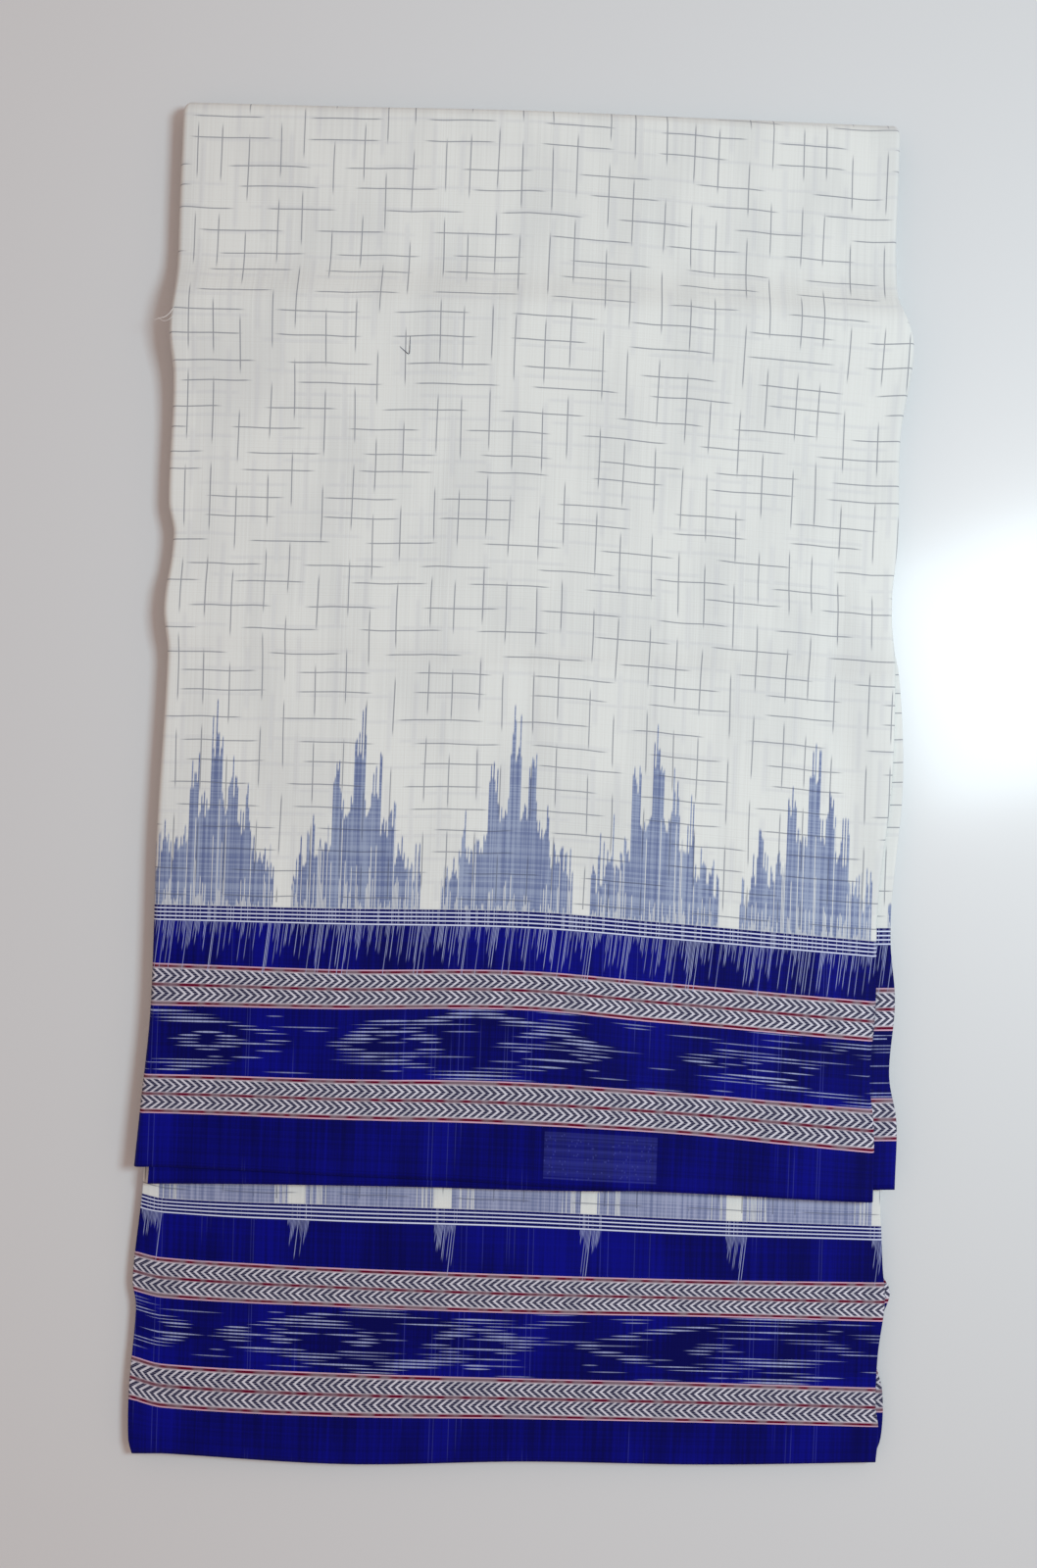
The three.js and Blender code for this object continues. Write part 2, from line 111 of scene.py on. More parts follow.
def curve_through(places: np.ndarray, values: np.ndarray, where: np.ndarray) -> np.ndarray:
    """A smooth curve through known places: cubic Hermite pieces with slopes from the neighbours.

    Args:
        places: the known places, rising.
        values: the value at each place, or an array of values for each point of `where`.
        where: the points to look up; beyond the ends they take the end's value.

    Returns:
        The curve's value at each point.
    """
    places = np.asarray(places, dtype=float)
    where = np.asarray(where, dtype=float)
    table = np.asarray(values, dtype=float)
    table = table.reshape(table.shape + (1,) * (where.ndim + 1 - table.ndim))
    table = np.broadcast_to(table, (len(places),) + where.shape)
    back = np.maximum(np.arange(len(places)) - 1, 0)
    ahead = np.minimum(np.arange(len(places)) + 1, len(places) - 1)
    spans = (places[ahead] - places[back]).reshape((-1,) + (1,) * where.ndim)
    slopes = (table[ahead] - table[back]) / spans
    inside = np.clip(where, places[0], places[-1])
    i = np.clip(np.searchsorted(places, inside, side="right") - 1, 0, len(places) - 2)
    span = places[i + 1] - places[i]
    t = (inside - places[i]) / span
    start, end, start_slope, end_slope = (
        np.take_along_axis(rows, index[None], axis=0)[0]
        for rows, index in ((table, i), (table, i + 1), (slopes, i), (slopes, i + 1))
    )
    return (
        start * (1 - t) ** 2 * (1 + 2 * t)
        + end * t**2 * (3 - 2 * t)
        + span * start_slope * t * (1 - t) ** 2
        - span * end_slope * t**2 * (1 - t)
    )


@dataclass(frozen=True)
class Edge:
    """A side outline: the edge's X at places from 0 at the head fold to 1 at the selvedge."""

    at: tuple[float, ...]
    x: tuple[float, ...]

    def look_up(self, where: np.ndarray) -> np.ndarray:
        """The edge's X at each place."""
        return curve_through(self.at, self.x, where)


@dataclass(frozen=True)
class Drops:
    """How far the rows across a leaf drop towards the selvedge, by share of the way to the right edge."""

    at: tuple[float, ...]
    quarter: tuple[float, ...]
    half: tuple[float, ...]
    three_quarters: tuple[float, ...]
    whole: tuple[float, ...]

    def look_up(self, where: np.ndarray, x: np.ndarray) -> np.ndarray:
        """The drop of the row at each place, where it crosses x.

        Args:
            where: places along the leaf, as an array of the same shape as x.
            x: the X of each point.

        Returns:
            The drop of each point, in millimetres.
        """
        columns = [np.zeros_like(where)]
        for column in (self.quarter, self.half, self.three_quarters, self.whole):
            if len(self.at) > 1:
                columns.append(curve_through(self.at, column, where))
            else:
                columns.append(np.full_like(where, column[0]))
        share = (x - ROW_LEFT_X) / (ROW_RIGHT_X - ROW_LEFT_X)
        return curve_through((0.0, 0.25, 0.5, 0.75, 1.0), np.stack(columns), share)


UPPER_LEFT = Edge(
    at=(0, 0.09, 0.17, 0.21, 0.25, 0.37, 0.4, 0.47, 0.51, 0.68, 0.85, 0.95, 1),
    x=(
        -157.7, -159.5, -160.9, -163.4, -162.0, -164.7, -162.3, -166.6, -165.1, -170.2, -173.2, -178.3,
        -180.9,
    ),
)
UPPER_RIGHT = Edge(
    at=(0, 0.15, 0.2, 0.28, 0.37, 0.44, 0.5, 0.6, 0.71, 0.81, 0.88, 0.93, 1),
    x=(180.2, 178.6, 184.9, 180.2, 179.3, 175.9, 177.9, 176.3, 169.8, 168.5, 165.7, 167.7, 167.2),
)
SECOND_BEYOND = Edge(
    at=(0, 0.44, 0.5, 0.6, 0.68, 0.75, 0.8, 0.87, 0.92, 1),
    x=(-2.6, -2.4, 2.1, 5.5, 6.6, 7.0, 9.3, 9.4, 11.0, 10.7),
)
LOWER_LEFT = Edge(
    at=(0, 0.2, 0.45, 0.68, 0.77, 0.81, 0.87, 0.89, 0.95, 0.99, 1),
    x=(-155.6, -159.8, -164.4, -170.6, -176.4, -178.6, -182.7, -181.1, -184.4, -184.8, -183.2),
)
LOWER_RIGHT = Edge(
    at=(0, 0.16, 0.36, 0.56, 0.72, 0.83, 0.86, 0.9, 0.94, 0.96, 1),
    x=(178, 180, 174, 172, 171, 173.1, 174.2, 170.9, 169.8, 171.1, 169.8),
)
LOWER_SECOND_RIGHT = Edge(
    at=(0.78, 0.83, 0.852, 0.875, 0.9, 0.93, 0.97, 1),
    x=(168.6, 170.0, 177.0, 172.4, 169.4, 173.4, 172.6, 168.4),
)
UPPER_DROP = Drops(
    at=(0, 0.2, 0.41, 0.76, 1),
    quarter=(2.3, -1.6, -1.8, 2.8, 4.0),
    half=(4.2, 0.0, 0.2, 5.6, 8.5),
    three_quarters=(7.9, 3.7, 5.6, 13.9, 13.0),
    whole=(11.6, 13.9, 17.1, 20.4, 17.1),
)
LOWER_DROP = Drops(
    at=(0, 0.33, 0.79, 0.85, 0.96, 1),
    quarter=(2.3, -1.8, 8.0, 9.7, 8.8, 5.1),
    half=(4.2, 0.2, 10.5, 13.0, 10.0, 3.9),
    three_quarters=(7.9, 5.6, 14.8, 16.2, 11.3, 5.3),
    whole=(11.6, 17.1, 18.1, 17.6, 13.9, 4.2),
)
SECOND_END_DROP = Drops(at=(1,), quarter=(0.7,), half=(3.0,), three_quarters=(3.6,), whole=(3.2,))

INNER_INSET = 2.6
SECOND_END_INSET = 6.5
HIDDEN_INSET = 1.6
END_BLEND = 0.86
SHELF_FROM, SHELF_TO, SHELF_DEPTH = 15.0, 5.0, 1.2
STRIP_LEAN_FROM, STRIP_LEAN_TO = 11.2, -6.8

# Faces nearer to a selvedge than this have the border's finish
BORDER_REACH = 127.0


@dataclass(frozen=True)
class PatternLines:
    """Where the border's woven lines lie on a folded leaf: the Y of each line at a few X, read off the
    photograph."""

    v: tuple[float, ...] = ()
    x: tuple[float, ...] = ()
    y: tuple[tuple[float, ...], ...] = ()

    def way(self, x: np.ndarray, y: np.ndarray, end: np.ndarray) -> np.ndarray:
        """The way from the selvedge: even between one line and the next, and as Y grows beyond the last.

        Args:
            x: X of each point.
            y: Y of each point.
            end: Y of the selvedge below each point.

        Returns:
            V of each point.
        """
        lines = [end] + [curve_through(self.x, line, x) for line in self.y]
        way = np.maximum(y - lines[-1], 0.0)
        for start, stop, near, far in zip((0.0,) + self.v, self.v, lines, lines[1:]):
            way = way + (stop - start) * np.clip((y - near) / (far - near), 0.0, 1.0)
        return way


# The bands' and the stripes' edges by their way from the selvedge
WOVEN_LINES = (23.0, 43.2, 75.0, 95.2, 115.4, 123.4)
UPPER_LINES = PatternLines(
    v=WOVEN_LINES,
    x=(-174.1, -84.3, 4.5, 66.6, 166.5),
    y=(
        (-153.7, -156.6, -159.5, -163.1, -172.5),
        (-135.5, -137.8, -139.5, -143.7, -151.9),
        (-103.2, -104.9, -105.5, -111.4, -120.2),
        (-83.2, -86.4, -87.2, -92.6, -101.4),
        (-63.1, -65.3, -67.1, -72.0, -80.6),
        (-55.9, -57.9, -59.4, -64.4, -73.2),
    ),
)
LOWER_LINES = PatternLines(
    v=WOVEN_LINES,
    x=(-183.7, -168.4, -89.8, -0.1, 88.7, 170.5),
    y=(
        (-290.9, -295.1, -299.3, -300.5, -302.3, -304.4),
        (-270.1, -274.3, -278.5, -281.2, -283.3, -285.7),
        (-239.0, -242.9, -247.1, -250.3, -251.9, -254.2),
        (-220.4, -223.9, -228.7, -232.2, -234.7, -235.8),
        (-199.0, -202.6, -206.7, -209.3, -213.3, -215.7),
        (-191.8, -195.9, -199.0, -202.0, -206.2, -209.2),
    ),
)


@dataclass(frozen=True)
class Crease:
    """A soft trough or ridge, from one point to another, bowed sideways in its middle."""

    start: tuple[float, float]
    end: tuple[float, float]
    height: float
    width: float
    bow: float = 0.0

    def relief(self, x: np.ndarray, y: np.ndarray) -> np.ndarray:
        """The crease's height: a bell across it, lower towards its ends, which fades out beyond them.

        Args:
            x: X of each point.
            y: Y of each point.

        Returns:
            The height at each point, below zero in a trough.
        """
        along_x, along_y = self.end[0] - self.start[0], self.end[1] - self.start[1]
        length = math.hypot(along_x, along_y)
        t = ((x - self.start[0]) * along_x + (y - self.start[1]) * along_y) / length**2
        inside = np.clip(t, 0.0, 1.0)
        away = ((x - self.start[0]) * along_y - (y - self.start[1]) * along_x) / length
        away = away - self.bow * 4.0 * inside * (1.0 - inside)
        beyond = (t - inside) * length
        over, fade_width = 0.12, 2.5 * self.width
        whole = 1.0 + 2.0 * over
        fade = np.exp(-((beyond / fade_width) ** 2))
        fade = fade * np.sin(np.pi * np.clip(t + over, 0, whole) / whole) ** 0.5
        return self.height * np.exp(-((away / self.width) ** 2)) * fade


@dataclass
class Relief:
    """The rise of the upper leaf above its flat level: the old cross crease, a raised patch and waves."""

    ridge_y: float = 221.0
    ridge_slant: float = -0.035
    ridge_height: float = 8.6
    ridge_extra: float = 1.2
    towards_head: float = 15.0
    towards_selvedge: float = 34.0
    patch_y: float = 77.0
    patch_half: float = 16.0
    patch_edge: float = 7.0
    patch_height: float = 2.2
    wave_height: float = 0.7
    wave_length: float = 118.0
    wave_from: float = -40.0
    wave_to: float = -120.0
    creases: tuple[Crease, ...] = ()

    def height(self, x: np.ndarray, y: np.ndarray) -> np.ndarray:
        """Adds the forms up: a bell over the ridge, wider towards the selvedge, a flat-topped patch with
        eased sides, a sine across the border, and the creases.

        Args:
            x: X of each point.
            y: Y of each point.

        Returns:
            The rise at each point.
        """
        crest = self.ridge_y + self.ridge_slant * x
        width = np.where(y > crest, self.towards_head, self.towards_selvedge)
        rise = self.ridge_height + self.ridge_extra * x / ROW_RIGHT_X
        ridge = rise * np.exp(-(((y - crest) / width) ** 2))
        away = np.abs(y - self.patch_y - self.ridge_slant * x) - self.patch_half
        patch = self.patch_height * (1.0 - smooth_step(-self.patch_edge, self.patch_edge, away))
        share = smooth_step(self.wave_from, self.wave_to, y)
        waves = self.wave_height * share * (1.0 + np.sin(2.0 * np.pi * x / self.wave_length))
        return ridge + patch + waves + sum(crease.relief(x, y) for crease in self.creases)


UPPER_FLOOR = 6.9
UPPER_TOP = 12.9

UPPER_RELIEF = Relief(
    creases=(
        Crease(start=(-150, 92), end=(10, 88), height=-0.55, width=2.6, bow=1.5),
        Crease(start=(30, 86), end=(165, 70), height=-0.45, width=3.2, bow=-2.0),
        Crease(start=(-140, 60), end=(60, 63), height=0.35, width=3.0, bow=2.0),
        Crease(start=(-120, 252), end=(-20, 248), height=-0.5, width=6.0, bow=3.0),
        Crease(start=(10, 262), end=(120, 240), height=-0.4, width=5.0, bow=-2.0),
        Crease(start=(4, 60), end=(9, 10), height=-0.45, width=4.0, bow=1.0),
        Crease(start=(150, 110), end=(156, -20), height=-0.6, width=6.0, bow=2.0),
        Crease(start=(-38, 300), end=(-34, 232), height=0.35, width=5.0, bow=1.0),
        Crease(start=(60, 300), end=(52, 236), height=0.4, width=6.0, bow=-1.5),
        Crease(start=(-96, -20), end=(-90, -90), height=0.35, width=5.0, bow=1.0),
        Crease(start=(96, -10), end=(104, -80), height=-0.35, width=6.0, bow=-1.0),
        Crease(start=(-60, -120), end=(-52, -172), height=0.4, width=7.0, bow=1.5),
        Crease(start=(28, -112), end=(20, -170), height=-0.4, width=5.0, bow=-1.0),
        Crease(start=(110, -118), end=(122, -178), height=0.45, width=6.0, bow=2.0),
    )
)

# Similar creases on the underside, which the camera doesn't see: they dent the cloth inwards only
UNDER_CREASES = (
    Crease(start=(-130, 210), end=(90, 202), height=0.5, width=5.0, bow=3.0),
    Crease(start=(-60, 96), end=(150, 84), height=0.6, width=6.0, bow=-4.0),
    Crease(start=(-150, -30), end=(20, -38), height=0.45, width=4.5, bow=2.0),
    Crease(start=(12, 40), end=(20, -96), height=0.4, width=6.0, bow=-2.0),
    Crease(start=(-96, -120), end=(110, -132), height=0.5, width=5.0, bow=3.0),
    Crease(start=(80, -180), end=(88, -270), height=0.4, width=5.0, bow=1.5),
)


@dataclass(frozen=True)
class Leaf:
    """Half of the folded strip: its side outlines, its rows' drop and its own end line if it has one."""

    left: Edge
    right: Edge
    drops: Drops
    selvedge_y: float
    beyond: Edge | None = None
    left_inset: float = 0.0
    left_end_inset: float = 0.0
    right_inset: float = 0.0
    end_y: float | None = None

    def left_x(self, at: np.ndarray) -> np.ndarray:
        """The left outline, further in towards the end where the ply is set back there."""
        extra = self.left_end_inset - self.left_inset if self.left_end_inset else 0.0
        return self.left.look_up(at) + self.left_inset + extra * smooth_step(END_BLEND, 1.0, at)

    def right_x(self, at: np.ndarray) -> np.ndarray:
        """The right outline, with what stands out beyond it."""
        beyond = self.beyond.look_up(at) if self.beyond else 0.0
        return self.right.look_up(at) + beyond - self.right_inset

    def y(self, at: np.ndarray, x: np.ndarray) -> np.ndarray:
        """Y runs evenly from the head fold to the selvedge, less the row's drop at x, and the last rows
        turn to the ply's own end line.

        Args:
            at: places from 0 at the head fold to 1 at the selvedge.
            x: X of each point.

        Returns:
            Y of each point.
        """
        y = FOLD_START_Y + (self.selvedge_y - FOLD_START_Y) * at - self.drops.look_up(at, x)
        if self.end_y is None:
            return y
        last = np.ones_like(at)
        own = self.end_y - SECOND_END_DROP.look_up(last, x)
        shared = self.selvedge_y - self.drops.look_up(last, x)
        return y + (own - shared) * smooth_step(END_BLEND, 1.0, at)


UPPER_FACE = Leaf(UPPER_LEFT, UPPER_RIGHT, UPPER_DROP, UPPER_SELVEDGE_Y)
UPPER_SECOND = Leaf(
    UPPER_LEFT, UPPER_RIGHT, UPPER_DROP, UPPER_SELVEDGE_Y,
    beyond=SECOND_BEYOND, left_inset=INNER_INSET, left_end_inset=SECOND_END_INSET, end_y=SECOND_SELVEDGE_Y,
)
UPPER_HIDDEN = Leaf(
    UPPER_LEFT, UPPER_RIGHT, UPPER_DROP, UPPER_SELVEDGE_Y, beyond=SECOND_BEYOND, left_inset=INNER_INSET,
    left_end_inset=SECOND_END_INSET, right_inset=HIDDEN_INSET, end_y=SECOND_SELVEDGE_Y,
)
LOWER_FACE = Leaf(LOWER_LEFT, LOWER_RIGHT, LOWER_DROP, LOWER_SELVEDGE_Y)
LOWER_SECOND = Leaf(LOWER_LEFT, LOWER_SECOND_RIGHT, LOWER_DROP, LOWER_SELVEDGE_Y, left_inset=INNER_INSET)
LOWER_HIDDEN = Leaf(
    LOWER_LEFT, LOWER_RIGHT, LOWER_DROP, LOWER_SELVEDGE_Y, left_inset=INNER_INSET, right_inset=INNER_INSET,
)


def upper_height(level: np.ndarray | float, x: np.ndarray, y: np.ndarray) -> np.ndarray:
    """A level of the upper leaf, lifted by its share of the relief, which is none at the leaf's floor.

    Args:
        level: the height in the flat parts.
        x: X of each point.
        y: Y of each point.

    Returns:
        The height of each point.
    """
    return level + UPPER_RELIEF.height(x, y) * (level - UPPER_FLOOR) / (UPPER_TOP - UPPER_FLOOR)


def shelf_depth(x: np.ndarray, at: np.ndarray) -> np.ndarray:
    """How far the plies of the upper leaf step down beside the face ply's right edge, eased.

    Args:
        x: X of each point.
        at: places from 0 at the head fold to 1 at the selvedge, as a column.

    Returns:
        The depth of each point.
    """
    beside = UPPER_FACE.right_x(at)
    return SHELF_DEPTH * smooth_step(0.0, 1.0, (x - beside + SHELF_FROM) / (SHELF_FROM - SHELF_TO))


@dataclass(frozen=True)
class Lip:
    """How the cloth's edge curls away from its face: a part of an ellipse, reach wide and drop deep."""

    reach: float
    drop: float
    turn: float
    steps: int

    def profile(self) -> tuple[np.ndarray, np.ndarray]:
        """The way in from the outline and the depth below the face, from the outermost turn inwards.

        Returns:
            inward = reach · (1 − sin angle) and depth = drop · (1 − cos angle), angle from turn to 0.
        """
        angle = math.radians(self.turn) * (1.0 - np.arange(self.steps) / self.steps)
        return self.reach * (1.0 - np.sin(angle)), self.drop * (1.0 - np.cos(angle))


LEFT_ROLL = Lip(reach=3.0, drop=3.3, turn=118, steps=9)
RIGHT_ROLL = Lip(reach=2.2, drop=2.2, turn=92, steps=6)
SHORT_ROLL = Lip(reach=0.6, drop=0.35, turn=90, steps=2)


def across(
    left: np.ndarray, right: np.ndarray, lips: tuple[Lip, Lip], columns: int
) -> tuple[np.ndarray, np.ndarray]:
    """Columns of a ply from its left to its right edge, with the lips' own columns at both ends.

    Args:
        left: X of the left outline in each row, as a column.
        right: X of the right outline in each row, as a column.
        lips: the lip on the left and the one on the right.
        columns: how many even columns lie between the lips.

    Returns:
        X and the depth below the face, both as rows by columns.
    """
    left_in, left_down = lips[0].profile()
    right_in, right_down = lips[1].profile()
    share = np.linspace(0.0, 1.0, columns)[None, :]
    start, end = left + lips[0].reach, right - lips[1].reach
    even = start + (end - start) * share
    x = np.concatenate([left + left_in[None, :], even, right - right_in[None, ::-1]], axis=1)
    flat = np.zeros(columns)
    depth = np.concatenate([left_down, flat, right_down[::-1]])[None, :]
    return x, np.broadcast_to(depth, x.shape)


def slow_wander(seed: int, places: np.ndarray, wavelengths: tuple[float, ...]) -> np.ndarray:
    """A line that wanders slowly between about -1 and 1: sines of the given wavelengths, with phases
    drawn from the seed, of equal weight.

    Args:
        seed: picks the phases.
        places: where to look, in millimetres.
        wavelengths: the wavelengths, in millimetres.

    Returns:
        The line's value at each place.
    """
    phases = np.random.default_rng(SEED + seed).uniform(0.0, 2.0 * np.pi, len(wavelengths))
    waves = [np.sin(2.0 * np.pi * places / length + phase) for length, phase in zip(wavelengths, phases)]
    return sum(waves) / math.sqrt(len(wavelengths))


@dataclass
class Grid:
    """A sheet of points in rows and columns, in millimetres, with its place on the flat cloth."""

    x: np.ndarray
    y: np.ndarray
    z: np.ndarray
    u: np.ndarray
    v: np.ndarray

    def vertices(self, shift: np.ndarray) -> np.ndarray:
        """All points as a list of XYZ in metres, in the CAD frame."""
        return np.stack([self.x, self.y, self.z], axis=-1).reshape(-1, 3) * MM + shift

    def quads(self, first: int = 0) -> np.ndarray:
        """The corners of each face: along the row, then up a row, so it faces where columns × rows do.

        Args:
            first: the number of the sheet's first vertex in the mesh.

        Returns:
            Four vertex numbers for each face.
        """
        rows, columns = self.x.shape
        start = first + (np.arange(rows - 1)[:, None] * columns + np.arange(columns - 1)[None, :]).ravel()
        return np.stack([start, start + 1, start + columns + 1, start + columns], axis=1)


def cloth_way(x: np.ndarray, y: np.ndarray, z: np.ndarray) -> np.ndarray:
    """The way along the cloth up the middle column from the first row: the sum of its points' steps.

    Args:
        x: X as rows by columns.
        y: Y as rows by columns.
        z: Z as rows by columns.

    Returns:
        The way to each row, as a column.
    """
    middle = x.shape[1] // 2
    points = np.stack([x[:, middle], y[:, middle], z[:, middle]], axis=1)
    steps = np.linalg.norm(np.diff(points, axis=0), axis=1)
    return np.concatenate([[0.0], np.cumsum(steps)])[:, None]


def strip_middle(at: np.ndarray) -> np.ndarray:
    """The X of the strip's middle line, which leans evenly to the left towards the selvedge."""
    return STRIP_LEAN_FROM + (STRIP_LEAN_TO - STRIP_LEAN_FROM) * at


def frame_shift() -> np.ndarray:
    """How the table's own X and Y lie in the CAD frame, whose origin is the middle of the model's box.

    Returns:
        The shift in metres: the middle of the box less the middle of the outlines that reach furthest.
    """
    low, high = (np.array(corner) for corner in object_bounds())
    fine, head_half = 2001, 150.0
    at = np.linspace(0.0, 1.0, fine)
    left = min(float(UPPER_FACE.left_x(at).min()), float(LOWER_FACE.left_x(at).min()))
    right = max(float(edge.right_x(at).max()) for edge in (UPPER_FACE, UPPER_SECOND, LOWER_FACE))
    head_x = np.linspace(-head_half, head_half, fine)
    head = float((FOLD_START_Y + HEAD_RADIUS - UPPER_DROP.look_up(np.zeros_like(head_x), head_x)).max())
    middle = (low + high) / 2.0
    shift_y = high[1] - head * MM
    return np.array([middle[0] - (left + right) / 2.0 * MM, shift_y, low[2]])


def new_mesh(name: str, vertices: np.ndarray, quads: np.ndarray, uv: np.ndarray) -> bpy.types.Object:
    """A mesh object from whole arrays, with its place on the flat cloth as its UV map.

    Args:
        name: the object's name.
        vertices: XYZ of each vertex, in metres.
        quads: the corners of each face.
        uv: U and V of each vertex, in metres of flat cloth.

    Returns:
        The object, in the scene.
    """
    mesh = bpy.data.meshes.new(name)
    mesh.vertices.add(len(vertices))
    mesh.vertices.foreach_set("co", vertices.astype(np.float32).ravel())
    sides = quads.shape[1]
    mesh.loops.add(quads.size)
    mesh.loops.foreach_set("vertex_index", quads.astype(np.int32).ravel())
    mesh.polygons.add(len(quads))
    mesh.polygons.foreach_set("loop_start", np.arange(len(quads), dtype=np.int32) * sides)
    layer = mesh.uv_layers.new(name="cloth")
    layer.data.foreach_set("uv", uv[quads.ravel()].astype(np.float32).ravel())
    mesh.update(calc_edges=True)
    mesh.validate()
    mesh.polygons.foreach_set("use_smooth", np.ones(len(quads), dtype=bool))
    thing = bpy.data.objects.new(name, mesh)
    bpy.context.scene.collection.objects.link(thing)
    return thing


class Step(Enum):
    """The node steps that the finishes are made of: a node type, and the settings that make it that step."""

    PLUS = ("ShaderNodeMath", {"operation": "ADD"})
    MINUS = ("ShaderNodeMath", {"operation": "SUBTRACT"})
    TIMES = ("ShaderNodeMath", {"operation": "MULTIPLY"})
    OVER = ("ShaderNodeMath", {"operation": "DIVIDE"})
    TIMES_PLUS = ("ShaderNodeMath", {"operation": "MULTIPLY_ADD"})
    FLOOR = ("ShaderNodeMath", {"operation": "FLOOR"})
    FRACTION = ("ShaderNodeMath", {"operation": "FRACT"})
    SIZE = ("ShaderNodeMath", {"operation": "ABSOLUTE"})
    LEAST = ("ShaderNodeMath", {"operation": "MINIMUM"})
    MOST = ("ShaderNodeMath", {"operation": "MAXIMUM"})
    BELOW = ("ShaderNodeMath", {"operation": "LESS_THAN"})
    ABOVE = ("ShaderNodeMath", {"operation": "GREATER_THAN"})
    SINE = ("ShaderNodeMath", {"operation": "SINE"})
    POWER = ("ShaderNodeMath", {"operation": "POWER"})
    EASE = ("ShaderNodeMapRange", {"interpolation_type": "SMOOTHSTEP"})
    EVENLY = ("ShaderNodeMapRange", {"interpolation_type": "LINEAR"})
    JOIN = ("ShaderNodeCombineXYZ", {})
    SPLIT = ("ShaderNodeSeparateXYZ", {})
    CHANCE = ("ShaderNodeTexWhiteNoise", {"noise_dimensions": "2D"})
    FLAT_CLOUD = ("ShaderNodeTexNoise", {"noise_dimensions": "2D"})
    CLOUD = ("ShaderNodeTexNoise", {"noise_dimensions": "3D"})
    CHART = ("ShaderNodeValToRGB", {})
    BLEND = ("ShaderNodeMix", {"data_type": "RGBA"})
    CLOTH_MAP = ("ShaderNodeUVMap", {"uv_map": "cloth"})
    PLACE = ("ShaderNodeTexCoord", {})
    DENT = ("ShaderNodeBump", {})
    SKIN = ("ShaderNodeBsdfPrincipled", {})
    SURFACE = ("ShaderNodeOutputMaterial", {})


def linear(colour: str, alpha: float = 1.0) -> tuple[float, float, float, float]:
    """Turns an sRGB hex value to linear light: x / 12.92 in the darks, ((x + 0.055) / 1.055) ^ 2.4 above.

    Args:
        colour: the colour as #rrggbb.
        alpha: the fourth value.

    Returns:
        Red, green, blue and alpha.
    """
    parts = [int(colour[i : i + 2], 16) / 255.0 for i in (1, 3, 5)]
    light = [x / 12.92 if x <= 0.04045 else ((x + 0.055) / 1.055) ** 2.4 for x in parts]
    return (*light, alpha)


class Finish:
    """A material's node tree, grown one step at a time."""

    def __init__(self, name: str) -> None:
        """Starts an empty material.

        Args:
            name: the material's name.
        """
        self.material = bpy.data.materials.new(name)
        self.material.use_nodes = True
        self.material.node_tree.nodes.clear()

    def add(
        self, step: Step, *inputs: object, out: str | None = None, named: dict | None = None,
        stops: tuple | None = None,
    ) -> Socket:
        """Adds a node, gives it its settings, and fills or links its inputs.

        Args:
            step: which node.
            inputs: values or sockets for its inputs in order.
            out: the name of the output to give back, or the first one.
            named: values or sockets for inputs by name.
            stops: for a chart, its places and the colour that each one holds up to the next.

        Returns:
            The output, or the node's first input where it has no output.
        """
        kind, settings = step.value
        tree = self.material.node_tree
        node = tree.nodes.new(kind)
        for key, value in settings.items():
            setattr(node, key, value)
        if stops:
            node.color_ramp.interpolation = "CONSTANT"
            elements = node.color_ramp.elements
            while len(elements) < len(stops):
                elements.new(1.0)
            for element, (place, colour) in zip(elements, stops):
                element.position = place
                element.color = colour
        shown = [socket for socket in node.inputs if socket.enabled]
        pairs = list(zip(shown, inputs)) + [(node.inputs[key], value) for key, value in (named or {}).items()]
        for socket, value in pairs:
            if isinstance(value, Socket):
                tree.links.new(value, socket)
            else:
                socket.default_value = value
        if not node.outputs:
            return node.inputs[0]
        return node.outputs[out] if out else next(socket for socket in node.outputs if socket.enabled)


@dataclass(frozen=True)
class Eye:
    """An eye of the tied-and-dyed band: its middle along the warp, half its length, and its share of the
    band's height."""

    middle: float
    half_length: float
    height: float = 1.0


@dataclass(frozen=True)
class Spire:
    """A step of a temple figure: where it starts along the warp, how high it is filled and how high its
    tallest threads reach."""

    start: float
    filled: float
    tallest: float


# One temple figure, from its left to its right, about its middle
TEMPLE = (
    Spire(-35.2, 0.0, 0.0),
    Spire(-32.0, 11.0, 25.0),
    Spire(-28.5, 15.0, 40.0),
    Spire(-24.5, 24.0, 50.0),
    Spire(-20.5, 21.0, 34.0),
    Spire(-16.0, 27.0, 40.0),
    Spire(-12.6, 55.0, 73.0),
    Spire(-8.4, 42.0, 54.0),
    Spire(-2.6, 70.0, 98.0),
    Spire(2.6, 43.0, 57.0),
    Spire(6.2, 51.0, 76.0),
    Spire(10.6, 34.0, 46.0),
    Spire(13.5, 34.0, 62.0),
    Spire(17.5, 21.0, 38.0),
    Spire(20.5, 19.0, 32.0),
    Spire(25.0, 13.0, 38.0),
    Spire(29.2, 0.0, 0.0),
)


@dataclass(frozen=True)
class BrokenLines:
    """Thin dyed threads with gaps: from line to line, the dyed length, from one to the next along the
    line, the row of their chances, half a line's width and how wide its soft edge is."""

    spacing: float
    dash: float
    period: float
    draw: float
    half_width: float
    soft_edge: float


LATTICE_ROWS = BrokenLines(spacing=10.4, dash=39.0, period=55.0, draw=6.0, half_width=0.13, soft_edge=0.28)
LATTICE_COLUMNS = BrokenLines(
    spacing=12.9, dash=31.0, period=41.0, draw=9.0, half_width=0.13, soft_edge=0.28
)

# The lattice of the ply below, which shines through, blurred
GHOST_ROWS = BrokenLines(spacing=10.9, dash=42.0, period=60.0, draw=81.0, half_width=0.3, soft_edge=0.9)
GHOST_COLUMNS = BrokenLines(spacing=13.7, dash=33.0, period=44.0, draw=84.0, half_width=0.4, soft_edge=1.5)


